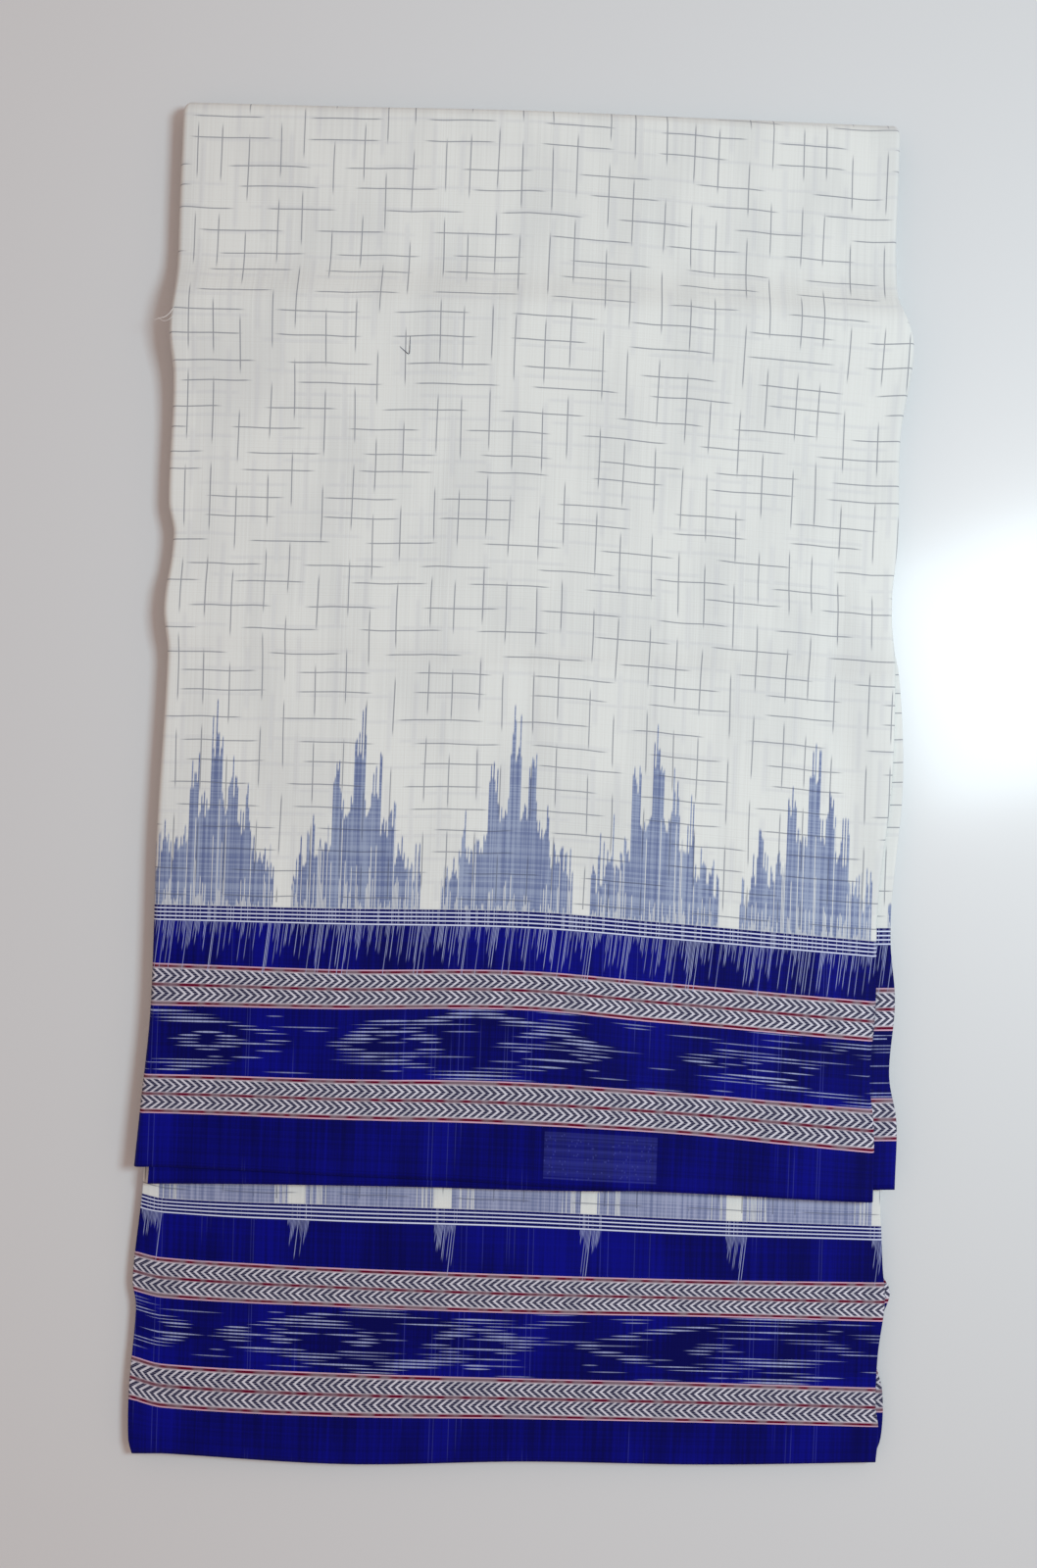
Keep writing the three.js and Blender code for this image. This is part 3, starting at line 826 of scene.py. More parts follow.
@dataclass(frozen=True)
class Plan:
    """The border's figures by their distance from the selvedge, and their sizes along the warp."""

    plain_to: float = 23.0
    band_width: float = 20.2
    ikat_middle: float = 59.2
    ikat_half: float = 16.0
    upper_band_from: float = 75.0
    streaks_to: float = 115.4
    stripes_to: float = 123.4
    stripe_pitch: float = 2.0
    temple_pitch: float = 70.2
    temple_middle: float = -141.3
    temple_wobble: float = 3.0
    patch_u: tuple[float, float] = (18.6, 71.6)
    patch_v: tuple[float, float] = (3.0, 21.0)
    thread: float = 0.6  # a real thread is about 0.3 mm; it is drawn as coarse as the camera can show
    ikat_thread: float = 1.6  # a row of tied yarns is about 1 mm; it is drawn coarser for the same reason
    chevron_pitch: float = 3.46
    chevron_middle: float = 4.25
    chevron_slope: float = 1.2
    chevron_stitch: float = 0.85
    chevrons_between: tuple[float, float] = (0.95, 7.6)
    chevron_way: float = 1.0
    streak_lean: float = 0.1
    streak_length: float = 26.0
    eye_joined: float = 34.0
    loose_cell: float = 34.0
    outer_eyes: tuple[Eye, ...] = ()
    inner_eyes: tuple[Eye, ...] = ()
    paler_right: float = 0.0
    open_columns: bool = False


UPPER_PLAN = Plan(
    outer_eyes=(Eye(-167.0, 66.0), Eye(-15.5, 66.5), Eye(178.0, 95.0)),
    inner_eyes=(Eye(-141.0, 16.0, 0.3), Eye(-55.0, 26.0, 0.7), Eye(20.0, 24.0, 0.62), Eye(128.0, 22.0, 0.35)),
    paler_right=0.1,
)
LOWER_PLAN = Plan(
    outer_eyes=(Eye(-200.0, 55.0), Eye(-63.0, 78.0), Eye(127.5, 93.6)),
    inner_eyes=(Eye(-88.0, 28.0, 0.8), Eye(-14.0, 25.0, 0.8), Eye(127.5, 42.0, 0.62)),
    temple_middle=-135.0,
    temple_pitch=69.2,
    temple_wobble=0.0,
    chevron_way=-1.0,
    open_columns=True,
)


class Draw(float, Enum):
    """The row of random numbers that a figure's chances come from, so that no two figures share one."""

    TEMPLE_WARP = 5.0
    TEMPLE_WEFT = 6.0
    YARN_WEFT = 7.0
    YARN_WARP = 8.0
    TEMPLE_HEIGHT = 11.0
    UNDYED_HEIGHT = 12.0
    SLIT = 13.0
    SLIT_HEIGHT = 14.0
    DEEP_WARP = 16.0
    PALE_WEFT = 17.0
    STREAK = 22.0
    STREAK_BLEACH = 23.0
    STRIPE_CROSSING = 31.0
    EYE_END = 40.0
    EYE_LENGTH = 50.0
    EYE_SHOWN = 60.0
    LOOSE_PLACE = 61.0
    LOOSE_LENGTH = 62.0
    IKAT_CROSSING = 71.0
    EYE_THICKNESS = 80.0
    PATCH_WARP = 92.0
    PATCH_SPECK = 93.0


class Weave:
    """The figures in the cloth, as masks from 0 to 1 over the flat cloth, in millimetres.

    U runs along the warp, V from the nearer selvedge inwards, so both borders have the same figures.
    """

    def __init__(self, finish: Finish, plan: Plan) -> None:
        """Reads the flat cloth's map, counts its threads both ways and makes the noises that are shared.

        Args:
            finish: the material's tree.
            plan: the border's figures.
        """
        add = self.add = finish.add
        self.plan = plan
        flat = add(Step.CLOTH_MAP)
        self.u = add(Step.TIMES, add(Step.SPLIT, flat), 1.0 / MM)
        way = add(Step.TIMES, add(Step.SPLIT, flat, out="Y"), 1.0 / MM)
        self.v = add(Step.LEAST, way, add(Step.MINUS, SAREE_WIDTH, way))
        self.threads = add(Step.OVER, self.u, plan.thread)
        self.weft = add(Step.FLOOR, self.threads)
        self.warp = add(Step.FLOOR, add(Step.OVER, self.v, plan.thread))
        self.fine = add(Step.EASE, self.off_middle(self.threads), 0.16, 0.36, 1.0, 0.0)
        self.weft_grain = self.cloud(across=1.6, along=60.0, seed=1.0, detail=1.0)
        self.broad = self.cloud(across=26.0, along=70.0, seed=3.0, detail=1.0)

    def chance(self, number: Socket, draw: float) -> Socket:
        """A value from 0 to 1 that belongs to a thread's number."""
        return self.add(Step.CHANCE, self.add(Step.JOIN, number, draw, 0.0))

    def cloud(self, across: float, along: float, seed: float, detail: float) -> Socket:
        """Soft noise with long grains, read at (U / across, V / along + 17 · seed).

        Args:
            across: a grain's size along U.
            along: a grain's size along V.
            seed: picks the place in the noise.
            detail: how many finer octaves it has.

        Returns:
            The noise, around 0.5.
        """
        apart = 17.0
        place = self.add(
            Step.JOIN, self.add(Step.TIMES, self.u, 1.0 / across),
            self.add(Step.TIMES_PLUS, self.v, 1.0 / along, apart * seed), 0.0,
        )
        return self.add(Step.FLAT_CLOUD, place, 1.0, detail)

    def between(self, value: Socket, low: float, high: float) -> Socket:
        """1 where the value lies between the two, else 0."""
        return self.add(Step.TIMES, self.add(Step.ABOVE, value, low), self.add(Step.BELOW, value, high))

    def off_middle(self, turns: Socket, middle: float = 0.5) -> Socket:
        """How far a place is from the middle of its turn, as a share of the turn."""
        return self.add(Step.SIZE, self.add(Step.MINUS, self.add(Step.FRACTION, turns), middle))

    def broken_lines(self, across: Socket, along: Socket, lines: BrokenLines) -> Socket:
        """Thin dyed threads with a gap after each dyed length.

        Each row's line lies near its middle, a little off by its own chance, and wanders with the broad
        noise. Its dashes start at a place that the row's chance picks, and fade at both ends.

        Args:
            across: the way across the lines.
            along: the way along them.
            lines: their sizes.

        Returns:
            The lines' mask.
        """
        add, spacing = self.add, lines.spacing
        off, wander, longer, fade = 0.3, 1.6, 8.0, 5.0
        row = add(Step.FLOOR, add(Step.OVER, across, spacing))
        nearest = (0.5 - off / 2.0) * spacing
        middle = add(Step.TIMES_PLUS, self.chance(row, lines.draw), off * spacing, nearest)
        inside = add(Step.MINUS, add(Step.TIMES_PLUS, row, -spacing, across), middle)
        away = add(Step.SIZE, add(Step.TIMES_PLUS, self.broad, wander, add(Step.PLUS, inside, -wander / 2.0)))
        line = add(Step.EASE, away, lines.half_width, lines.half_width + lines.soft_edge, 1.0, 0.0)
        turns = add(Step.PLUS, add(Step.OVER, along, lines.period), self.chance(row, lines.draw + 1.0))
        there = add(Step.TIMES, add(Step.FRACTION, turns), lines.period)
        own = self.chance(add(Step.PLUS, add(Step.FLOOR, turns), row), lines.draw + 2.0)
        dash = add(Step.PLUS, add(Step.TIMES, own, longer), lines.dash - longer / 2.0)
        nearest_end = add(Step.LEAST, there, add(Step.MINUS, dash, there))
        return add(Step.TIMES, line, add(Step.EASE, nearest_end, 0.0, fade))

    def temples(self) -> Socket:
        """The spired temple figures, thread by thread.

        Each weft thread is dyed up to a height between the figure's filled and tallest heights at its
        place; a power of its chance says where between. Undyed threads rise from below by their own chance;
        in a border with open columns they stand beside the columns alone.

        Returns:
            The figures' mask.
        """
        add, plan = self.add, self.plan
        top, rarity, foot_rarity, foot_reach, slit_reach = 100.0, 1.4, 4.0, 14.0, 58.0
        no_slit_share, undyed_share, column_half, column_out = 0.8, 0.45, 12.0, 14.0
        first_middle = 0.5 * plan.thread - plan.temple_middle
        middle_of_thread = add(Step.TIMES_PLUS, self.weft, plan.thread, first_middle)
        turn = add(Step.TIMES_PLUS, middle_of_thread, math.pi / plan.temple_pitch, 0.5 * math.pi)
        half_wobble = plan.temple_wobble / 2.0
        sway = add(Step.TIMES_PLUS, add(Step.SINE, turn), -half_wobble, half_wobble)
        place = add(Step.PLUS, middle_of_thread, sway)
        share = add(Step.FRACTION, add(Step.TIMES_PLUS, place, 1.0 / plan.temple_pitch, 0.5))
        starts = [max(step.start / plan.temple_pitch + 0.5, 0.0) for step in TEMPLE]
        stops = tuple(
            (start, (step.filled / top, step.tallest / top, 0.0, 1.0)) for start, step in zip(starts, TEMPLE)
        )
        heights = add(Step.CHART, share, stops=stops)
        filled = add(Step.TIMES, add(Step.SPLIT, heights), top)
        tallest = add(Step.TIMES, add(Step.SPLIT, heights, out="Y"), top)
        chance = add(Step.POWER, self.chance(self.weft, Draw.TEMPLE_HEIGHT), rarity)
        height = add(Step.TIMES_PLUS, chance, add(Step.MINUS, tallest, filled), filled)
        over = add(Step.MINUS, self.v, plan.stripes_to)
        dyed = add(Step.EASE, add(Step.MINUS, height, over), -1.0, 1.5)
        if plan.open_columns:
            beside = add(Step.EASE, self.from_column(), column_half, column_out, 1.0, 0.0)
            highest = add(Step.TIMES, add(Step.TIMES, add(Step.ABOVE, chance, undyed_share), beside), top)
        else:
            foot = add(Step.POWER, self.chance(self.weft, Draw.UNDYED_HEIGHT), foot_rarity)
            slit = add(Step.ABOVE, self.chance(self.weft, Draw.SLIT), no_slit_share)
            slit_height = add(Step.TIMES, self.chance(self.weft, Draw.SLIT_HEIGHT), slit_reach)
            highest = add(Step.MOST, add(Step.TIMES, foot, foot_reach), add(Step.TIMES, slit, slit_height))
        undyed = add(Step.TIMES, add(Step.EASE, add(Step.MINUS, highest, over), -1.0, 1.0), self.fine)
        return add(Step.TIMES, dyed, add(Step.MINUS, 1.0, undyed))

    def from_column(self) -> Socket:
        """The distance from the middle of the nearest undyed column, one between each two temples.

        Returns:
            The distance in millimetres.
        """
        pitch = self.plan.temple_pitch
        turns = self.add(Step.TIMES_PLUS, self.u, 1.0 / pitch, -self.plan.temple_middle / pitch)
        return self.add(Step.TIMES, self.off_middle(turns), pitch)

    def hanging_streaks(self) -> Socket:
        """Undyed lengths of weft that hang from the stripes into the blue, leaning a little.

        A quarter of the threads have none. Each other one's length is a power of its chance, longer where
        slow noise bunches them, and some are less bleached. In a border with open columns they hang under
        those alone.

        Returns:
            The streaks' mask.
        """
        add, plan = self.add, self.plan
        none_share, rarity, least_bleached, tip_blur = 0.25, 1.4, 0.45, 3.0
        column_half, column_out, column_longer, column_shortest = 3.8, 5.6, 20.0, 3.5
        hang = add(Step.MINUS, plan.streaks_to, self.v)
        threads = add(Step.OVER, add(Step.TIMES_PLUS, hang, plan.streak_lean, self.u), plan.thread)
        chance = self.chance(add(Step.FLOOR, threads), Draw.STREAK)
        if plan.open_columns:
            near = add(Step.EASE, self.from_column(), column_half, column_out, 1.0, 0.0)
            length = add(Step.TIMES_PLUS, add(Step.POWER, chance, 2.0), column_longer, column_shortest)
            length = add(Step.TIMES, length, near)
        else:
            slow = self.cloud(across=9.0, along=500.0, seed=21.0, detail=0.0)
            bunch = add(Step.EASE, slow, 0.3, 0.7, 0.75, 1.15)
            reach = add(Step.POWER, add(Step.EVENLY, chance, none_share, 1.0), rarity)
            length = add(Step.TIMES, reach, add(Step.TIMES, bunch, plan.streak_length))
        shown = add(Step.EASE, add(Step.MINUS, length, hang), -0.2 * tip_blur, tip_blur)
        line = add(Step.EASE, self.off_middle(threads), 0.08, 0.36, 1.0, 0.0)
        bleached = self.chance(add(Step.FLOOR, threads), Draw.STREAK_BLEACH)
        bleached = add(Step.TIMES_PLUS, bleached, 1.0 - least_bleached, least_bleached)
        below_stripes = add(Step.ABOVE, hang, 0.0)
        return add(Step.TIMES, add(Step.TIMES, shown, below_stripes), add(Step.TIMES, line, bleached))

    def stripes(self) -> Socket:
        """The white stripes over navy, crossed by undyed threads.

        Returns:
            Their mask: 1 in the part of each pitch that is nearer the selvedge.
        """
        add, plan = self.add, self.plan
        palest_crossing, column_half, column_out = 0.45, 4.0, 7.0
        turns = add(Step.OVER, add(Step.MINUS, self.v, plan.streaks_to), plan.stripe_pitch)
        white = add(Step.EASE, self.off_middle(turns, middle=0.25), 0.1, 0.22, 1.0, 0.0)
        crossing = self.chance(self.weft, Draw.STRIPE_CROSSING)
        crossing = add(Step.EASE, crossing, 0.5, 1.0, 0.0, palest_crossing)
        if plan.open_columns:
            near = add(Step.EASE, self.from_column(), column_half, column_out, 1.0, 0.1)
            crossing = add(Step.TIMES, crossing, near)
        return add(Step.MOST, white, add(Step.TIMES, crossing, self.fine))

    def washed_patch(self) -> Socket:
        """A paler rectangle in the plain blue, as its threads have it: some more, with a few slub specks.

        Returns:
            How pale the blue is, 0 where it isn't.
        """
        add, plan = self.add, self.plan
        apart, speck_paleness, speckless_share, palest_warp, least_pale = 57.0, 0.3, 0.97, 0.3, 0.08
        here = add(Step.TIMES, self.between(self.u, *plan.patch_u), self.between(self.v, *plan.patch_v))
        cell = add(Step.PLUS, self.weft, add(Step.TIMES, self.warp, apart))
        specks = add(Step.ABOVE, self.chance(cell, Draw.PATCH_SPECK), speckless_share)
        warps = self.chance(self.warp, Draw.PATCH_WARP)
        warps = add(Step.TIMES_PLUS, warps, palest_warp - least_pale, least_pale)
        return add(Step.TIMES, here, add(Step.PLUS, warps, add(Step.TIMES, specks, speck_paleness)))

    def band(self, start: float) -> tuple[Socket, Socket, Socket]:
        """A band of two chevron rows between red and pink lines, the same on both sides of its middle.

        Args:
            start: where it starts from the selvedge.

        Returns:
            The band's mask, its ground colour and the mask of the chevrons' dark dashes.
        """
        add, plan = self.add, self.plan
        half = plan.band_width / 2.0
        away = add(Step.SIZE, add(Step.MINUS, self.v, start + half))
        red, pink, lilac, silver = (linear(c) for c in ("#5e0228", "#cda6ba", "#b4a3af", "#d2d3de"))
        ground = add(
            Step.CHART, add(Step.OVER, away, half),
            stops=((0.0, red), (0.062, lilac), (0.095, silver), (0.765, lilac), (0.82, red), (0.935, pink)),
        )
        from_apex = add(Step.SIZE, add(Step.MINUS, away, plan.chevron_middle))
        along = add(Step.TIMES, self.u, plan.chevron_way)
        slanted = add(Step.TIMES_PLUS, from_apex, plan.chevron_slope, along)
        turns = add(Step.OVER, slanted, plan.chevron_pitch)
        dash = add(Step.EASE, self.off_middle(turns), 0.26, 0.33, 1.0, 0.0)
        stitches = add(Step.TIMES_PLUS, from_apex, 1.0 / plan.chevron_stitch, 0.5)
        broken = add(Step.EASE, self.off_middle(stitches), 0.27, 0.48, 1.0, 0.62)
        dark = add(Step.TIMES, add(Step.TIMES, dash, broken), self.between(away, *plan.chevrons_between))
        return self.between(self.v, start, start + plan.band_width), ground, dark

    def eyes(self, number: int, eyes: tuple[Eye, ...]) -> tuple[Socket, Socket]:
        """The outlines of a row of eyes in undyed lengths of warp, spindles in each row of threads.

        A chart along the warp holds each eye's middle, half length and height. The outline's half length
        at a row is half_length · (1 − (row's height / eye's height) ^ 1.6). Each row's spindle ends there,
        give or take its chance, and is an ellipse as long as a second chance says, longer in the rows where
        the outline runs flatter. Where the eye is short, one spindle lies over its middle.

        Args:
            number: picks the chances.
            eyes: the eyes, from left to right.

        Returns:
            The outlines' mask, and that of the eyes' inside.
        """
        add, plan = self.add, self.plan
        reach, roundness, other_side = 400.0, 1.6, 37.0
        end_spread, end_inwards, shortest, longer, flat_share = 9.0, 3.0, 5.0, 14.0, 0.08
        thinnest, thicker, missing_share = 0.16, 0.32, 0.27
        gaps = [(a.middle + a.half_length, b.middle - b.half_length) for a, b in zip(eyes, eyes[1:])]
        starts = [0.0] + [sum(gap) / 2.0 / reach + 0.5 for gap in gaps]
        stops = tuple(
            (start, (eye.middle / reach + 0.5, eye.half_length / reach, eye.height, 1.0))
            for start, eye in zip(starts, eyes)
        )
        chart = add(Step.CHART, add(Step.TIMES_PLUS, self.u, 1.0 / reach, 0.5), stops=stops)
        along = add(Step.TIMES_PLUS, add(Step.SPLIT, chart), -reach, add(Step.PLUS, self.u, reach / 2.0))
        half_length = add(Step.TIMES, add(Step.SPLIT, chart, out="Y"), reach)
        row = add(Step.FLOOR, add(Step.OVER, self.v, plan.ikat_thread))
        row_middle = add(Step.TIMES_PLUS, row, plan.ikat_thread, 0.5 * plan.ikat_thread)
        height = add(Step.SIZE, add(Step.MINUS, row_middle, plan.ikat_middle))
        height = add(Step.OVER, height, add(Step.TIMES, add(Step.SPLIT, chart, out="Z"), plan.ikat_half))
        shorter = add(Step.MINUS, 1.0, add(Step.POWER, height, roundness))
        outline = add(Step.TIMES, half_length, shorter)
        apart = add(Step.TIMES, add(Step.ABOVE, along, 0.0), add(Step.ABOVE, outline, plan.eye_joined))
        side = add(Step.TIMES_PLUS, apart, other_side, add(Step.PLUS, row, half_length))
        end = add(Step.TIMES_PLUS, self.chance(side, Draw.EYE_END + number), end_spread, -end_inwards)
        end = add(Step.PLUS, outline, end)
        length = add(Step.POWER, self.chance(side, Draw.EYE_LENGTH + number), 2.0)
        half = add(Step.TIMES_PLUS, length, longer, shortest)
        half = add(Step.TIMES_PLUS, add(Step.TIMES, height, half_length), flat_share, half)
        middle = add(Step.MOST, add(Step.MINUS, end, half), 0.0)
        lengthwise = add(Step.SIZE, add(Step.OVER, add(Step.MINUS, add(Step.SIZE, along), middle), half))
        thickness = self.chance(side, Draw.EYE_THICKNESS + number)
        thickness = add(Step.TIMES_PLUS, thickness, thicker, thinnest)
        thick = add(Step.SIZE, add(Step.OVER, add(Step.MINUS, self.v, row_middle), thickness))
        rounded = add(Step.PLUS, add(Step.POWER, lengthwise, 2.0), thick)
        spindle = add(Step.EASE, rounded, 0.5, 1.2, 1.0, 0.0)
        shown = add(Step.ABOVE, self.chance(side, Draw.EYE_SHOWN + number), missing_share)
        shown = add(Step.TIMES, shown, add(Step.ABOVE, shorter, 0.0))
        inside = add(Step.EASE, add(Step.MINUS, outline, add(Step.SIZE, along)), -6.0, 8.0)
        return add(Step.TIMES, spindle, shown), inside

    def loose_lengths(self) -> Socket:
        """Thin undyed lengths of warp strewn over the tied-and-dyed band, at most one in each cell of a row.

        Each row's cells are shifted by the row's chance; a cell's chance says whether it has one, and how
        long.

        Returns:
            Their mask.
        """
        add, plan = self.add, self.plan
        shift, apart, none_below, thinness = 9.0, 7.0, 0.72, 5.0
        rows = add(Step.OVER, self.v, plan.ikat_thread)
        row = add(Step.FLOOR, rows)
        shifted = add(Step.TIMES, self.chance(row, Draw.LOOSE_PLACE), shift)
        cells = add(Step.TIMES_PLUS, self.u, 1.0 / plan.loose_cell, shifted)
        cell = add(Step.PLUS, add(Step.FLOOR, cells), add(Step.TIMES, row, apart))
        chance = self.chance(cell, Draw.LOOSE_LENGTH)
        half = add(Step.EVENLY, chance, none_below, 1.0, 0.12, 0.5)
        lengthwise = add(Step.OVER, self.off_middle(cells), half)
        thick = add(Step.TIMES, self.off_middle(rows), thinness)
        rounded = add(Step.PLUS, add(Step.POWER, lengthwise, 2.0), thick)
        spindle = add(Step.EASE, rounded, 0.4, 1.2, 1.0, 0.0)
        return add(Step.TIMES, spindle, add(Step.ABOVE, chance, none_below))

    def ikat(self) -> tuple[Socket, Socket]:
        """The tied-and-dyed band's figures: two rows of eyes and loose lengths, dotted by the dyed threads
        that cross.

        Returns:
            The figures' mask, and that of the deeper blue inside the outer eyes.
        """
        add, plan = self.add, self.plan
        loose_paleness, least_crossed, more_crossed = 0.6, 0.65, 0.3
        outer, inside = self.eyes(1, plan.outer_eyes)
        figures = add(Step.MOST, outer, self.eyes(2, plan.inner_eyes)[0])
        found = add(Step.MOST, figures, add(Step.TIMES, self.loose_lengths(), loose_paleness))
        crossing = self.chance(self.weft, Draw.IKAT_CROSSING)
        crossing = add(Step.TIMES_PLUS, crossing, more_crossed, least_crossed)
        here = self.between(self.v, plan.plain_to + plan.band_width, plan.upper_band_from)
        return add(Step.TIMES, add(Step.TIMES, found, crossing), here), add(Step.TIMES, inside, here)


@dataclass(frozen=True)
class HandloomCotton:
    """Handloom cotton with tied-and-dyed yarns: matt and soft, with slubs and a fine plain weave, so its
    surface scatters light evenly and has a faint sheen of fibres at grazing angles."""

    name: str
    plan: Plan
    off_white: str = "#dde2df"
    shaded_white: str = "#d4d9d7"
    deep_blue: str = "#02044f"
    bright_blue: str = "#060a83"
    stripe_navy: str = "#070c5c"
    temple_blue: str = "#627099"
    temple_pale: str = "#97a5bf"
    lattice: str = "#50576c"
    ghost: str = "#b3b7c2"
    undyed: str = "#a6b2d8"
    stripe_white: str = "#d4def5"
    # painted shade of the silver threads: a darker silver in soft patches, so the rest of the bands' silver
    # shows as a painted glint
    painted_silver_glint_shade: str = "#93959f"
    chevron_navy: str = "#0d0e3c"
    washed_blue: str = "#4a52a4"
    lattice_depth: float = 0.62
    ghost_depth: float = 0.17
    roughness: float = 0.6
    specular: float = 0.06
    sheen: float = 0.015
    sheen_roughness: float = 0.5
    dent_strength: float = 0.25
    dent_depth: float = 0.0002
    dent_filter: float = 1.0

    def finished(self, finish: Finish, weave: Weave, colour: Socket) -> bpy.types.Material:
        """Gives the figures the cotton's surface: a fine weave in relief, matt, with a little sheen.

        Args:
            finish: the material's tree.
            weave: the cloth's threads.
            colour: the figures' colour.

        Returns:
            The material.
        """
        add = finish.add
        wefts, warps = weave.chance(weave.weft, Draw.YARN_WEFT), weave.chance(weave.warp, Draw.YARN_WARP)
        relief = add(Step.PLUS, wefts, warps)
        normal = add(Step.DENT, self.dent_strength, self.dent_depth, self.dent_filter, relief)
        named = {
            "Base Color": colour,
            "Roughness": self.roughness,
            "Specular IOR Level": self.specular,
            "Sheen Weight": self.sheen,
            "Sheen Roughness": self.sheen_roughness,
            "Normal": normal,
        }
        add(Step.SURFACE, add(Step.SKIN, named=named))
        return finish.material

    def ground(self, finish: Finish, weave: Weave) -> Socket:
        """The body's colour: off-white, a little darker in slow clouds and fine grains.

        Args:
            finish: the material's tree.
            weave: the cloth's threads.

        Returns:
            The colour.
        """
        add = finish.add
        grain = add(Step.TIMES_PLUS, weave.weft_grain, 0.3, add(Step.TIMES, weave.broad, 0.7))
        light = add(Step.EASE, grain, 0.3, 0.65)
        return add(Step.BLEND, light, linear(self.shaded_white), linear(self.off_white))

    def with_temples(self, finish: Finish, weave: Weave, colour: Socket) -> Socket:
        """Lays the temple figures on a colour, in thin threads between two greyish blues, the paler one
        with a little more weight in the right half.

        Args:
            finish: the material's tree.
            weave: the cloth's threads.
            colour: what lies below.

        Returns:
            The colour.
        """
        add = finish.add
        warps, wefts = weave.chance(weave.warp, Draw.TEMPLE_WARP), weave.chance(weave.weft, Draw.TEMPLE_WEFT)
        slubs = add(Step.PLUS, weave.weft_grain, -0.4)
        grain = add(Step.TIMES_PLUS, add(Step.PLUS, warps, wefts), 0.4, slubs)
        paler = add(Step.EASE, weave.u, -40.0, 0.0, 0.0, self.plan.paler_right)
        ribs = add(Step.PLUS, add(Step.EASE, grain, 0.0, 1.0), paler)
        temple = add(Step.BLEND, ribs, linear(self.temple_blue), linear(self.temple_pale))
        return add(Step.BLEND, weave.temples(), colour, temple)

    def body(self) -> bpy.types.Material:
        """The body: off-white ground, the plies beneath shining through, the temples and the lattice.

        Returns:
            The material.
        """
        finish = Finish(self.name + "_body")
        weave = Weave(finish, self.plan)
        add = finish.add
        ghost_rows = weave.broken_lines(weave.v, weave.u, GHOST_ROWS)
        ghost_columns = weave.broken_lines(weave.u, weave.v, GHOST_COLUMNS)
        ghosts = add(Step.TIMES, add(Step.MOST, ghost_rows, ghost_columns), self.ghost_depth)
        colour = add(Step.BLEND, ghosts, self.ground(finish, weave), linear(self.ghost))
        colour = self.with_temples(finish, weave, colour)
        rows = weave.broken_lines(weave.v, weave.u, LATTICE_ROWS)
        columns = weave.broken_lines(weave.u, weave.v, LATTICE_COLUMNS)
        lattice = add(Step.TIMES, add(Step.MOST, rows, columns), self.lattice_depth)
        return self.finished(finish, weave, add(Step.BLEND, lattice, colour, linear(self.lattice)))

    def border(self) -> bpy.types.Material:
        """The border: stripes, hanging streaks, bands and the tied-and-dyed band on deep blue, and the feet
        of the temples beyond the stripes.

        Returns:
            The material.
        """
        finish = Finish(self.name + "_border")
        weave = Weave(finish, self.plan)
        add, plan = finish.add, self.plan
        free_of_streaks, pale_free_share, palest_thread, deeper_inside = 17.0, 0.94, 0.36, 0.4
        grain = add(Step.TIMES_PLUS, weave.broad, 0.6, add(Step.TIMES, weave.weft_grain, 0.4))
        grain = add(Step.TIMES_PLUS, weave.chance(weave.warp, Draw.DEEP_WARP), 0.1, grain)
        figures, inside = weave.ikat()
        brightness = add(Step.TIMES_PLUS, inside, -deeper_inside, add(Step.EASE, grain, 0.28, 0.85))
        colour = add(Step.BLEND, brightness, linear(self.deep_blue), linear(self.bright_blue))
        pale = add(Step.ABOVE, weave.chance(weave.weft, Draw.PALE_WEFT), pale_free_share)
        pale = add(Step.TIMES, pale, weave.fine)
        pale = add(Step.TIMES, pale, add(Step.EASE, weave.broad, 0.45, 0.6, 0.0, palest_thread))
        if not plan.open_columns:
            pale = add(Step.MOST, pale, weave.washed_patch())
        colour = add(Step.BLEND, pale, colour, linear(self.washed_blue))
        colour = add(Step.BLEND, figures, colour, linear(self.undyed))
        stripes = add(Step.BLEND, weave.stripes(), linear(self.stripe_navy), linear(self.stripe_white))
        colour = add(Step.BLEND, add(Step.ABOVE, weave.v, plan.streaks_to), colour, stripes)
        # painted glint and shade: soft patches where the bands' silver is darker, the shine of its metal
        # threads painted into the colour
        cloud = weave.cloud(across=7.0, along=30.0, seed=90.0, detail=1.0)
        painted_glint_patches = add(Step.EASE, cloud, 0.35, 0.7, 0.0, 0.45)
        for start in (plan.plain_to, plan.upper_band_from):
            mask, ground, dark = weave.band(start)
            ground = add(Step.BLEND, painted_glint_patches, ground, linear(self.painted_silver_glint_shade))
            ground = add(Step.BLEND, dark, ground, linear(self.chevron_navy))
            colour = add(Step.BLEND, mask, colour, ground)
        allowed = add(Step.ABOVE, weave.v, plan.upper_band_from + free_of_streaks)
        streaks = add(Step.TIMES, weave.hanging_streaks(), allowed)
        colour = add(Step.BLEND, streaks, colour, linear(self.undyed))
        beyond = self.with_temples(finish, weave, self.ground(finish, weave))
        colour = add(Step.BLEND, add(Step.ABOVE, weave.v, plan.stripes_to), colour, beyond)
        return self.finished(finish, weave, colour)


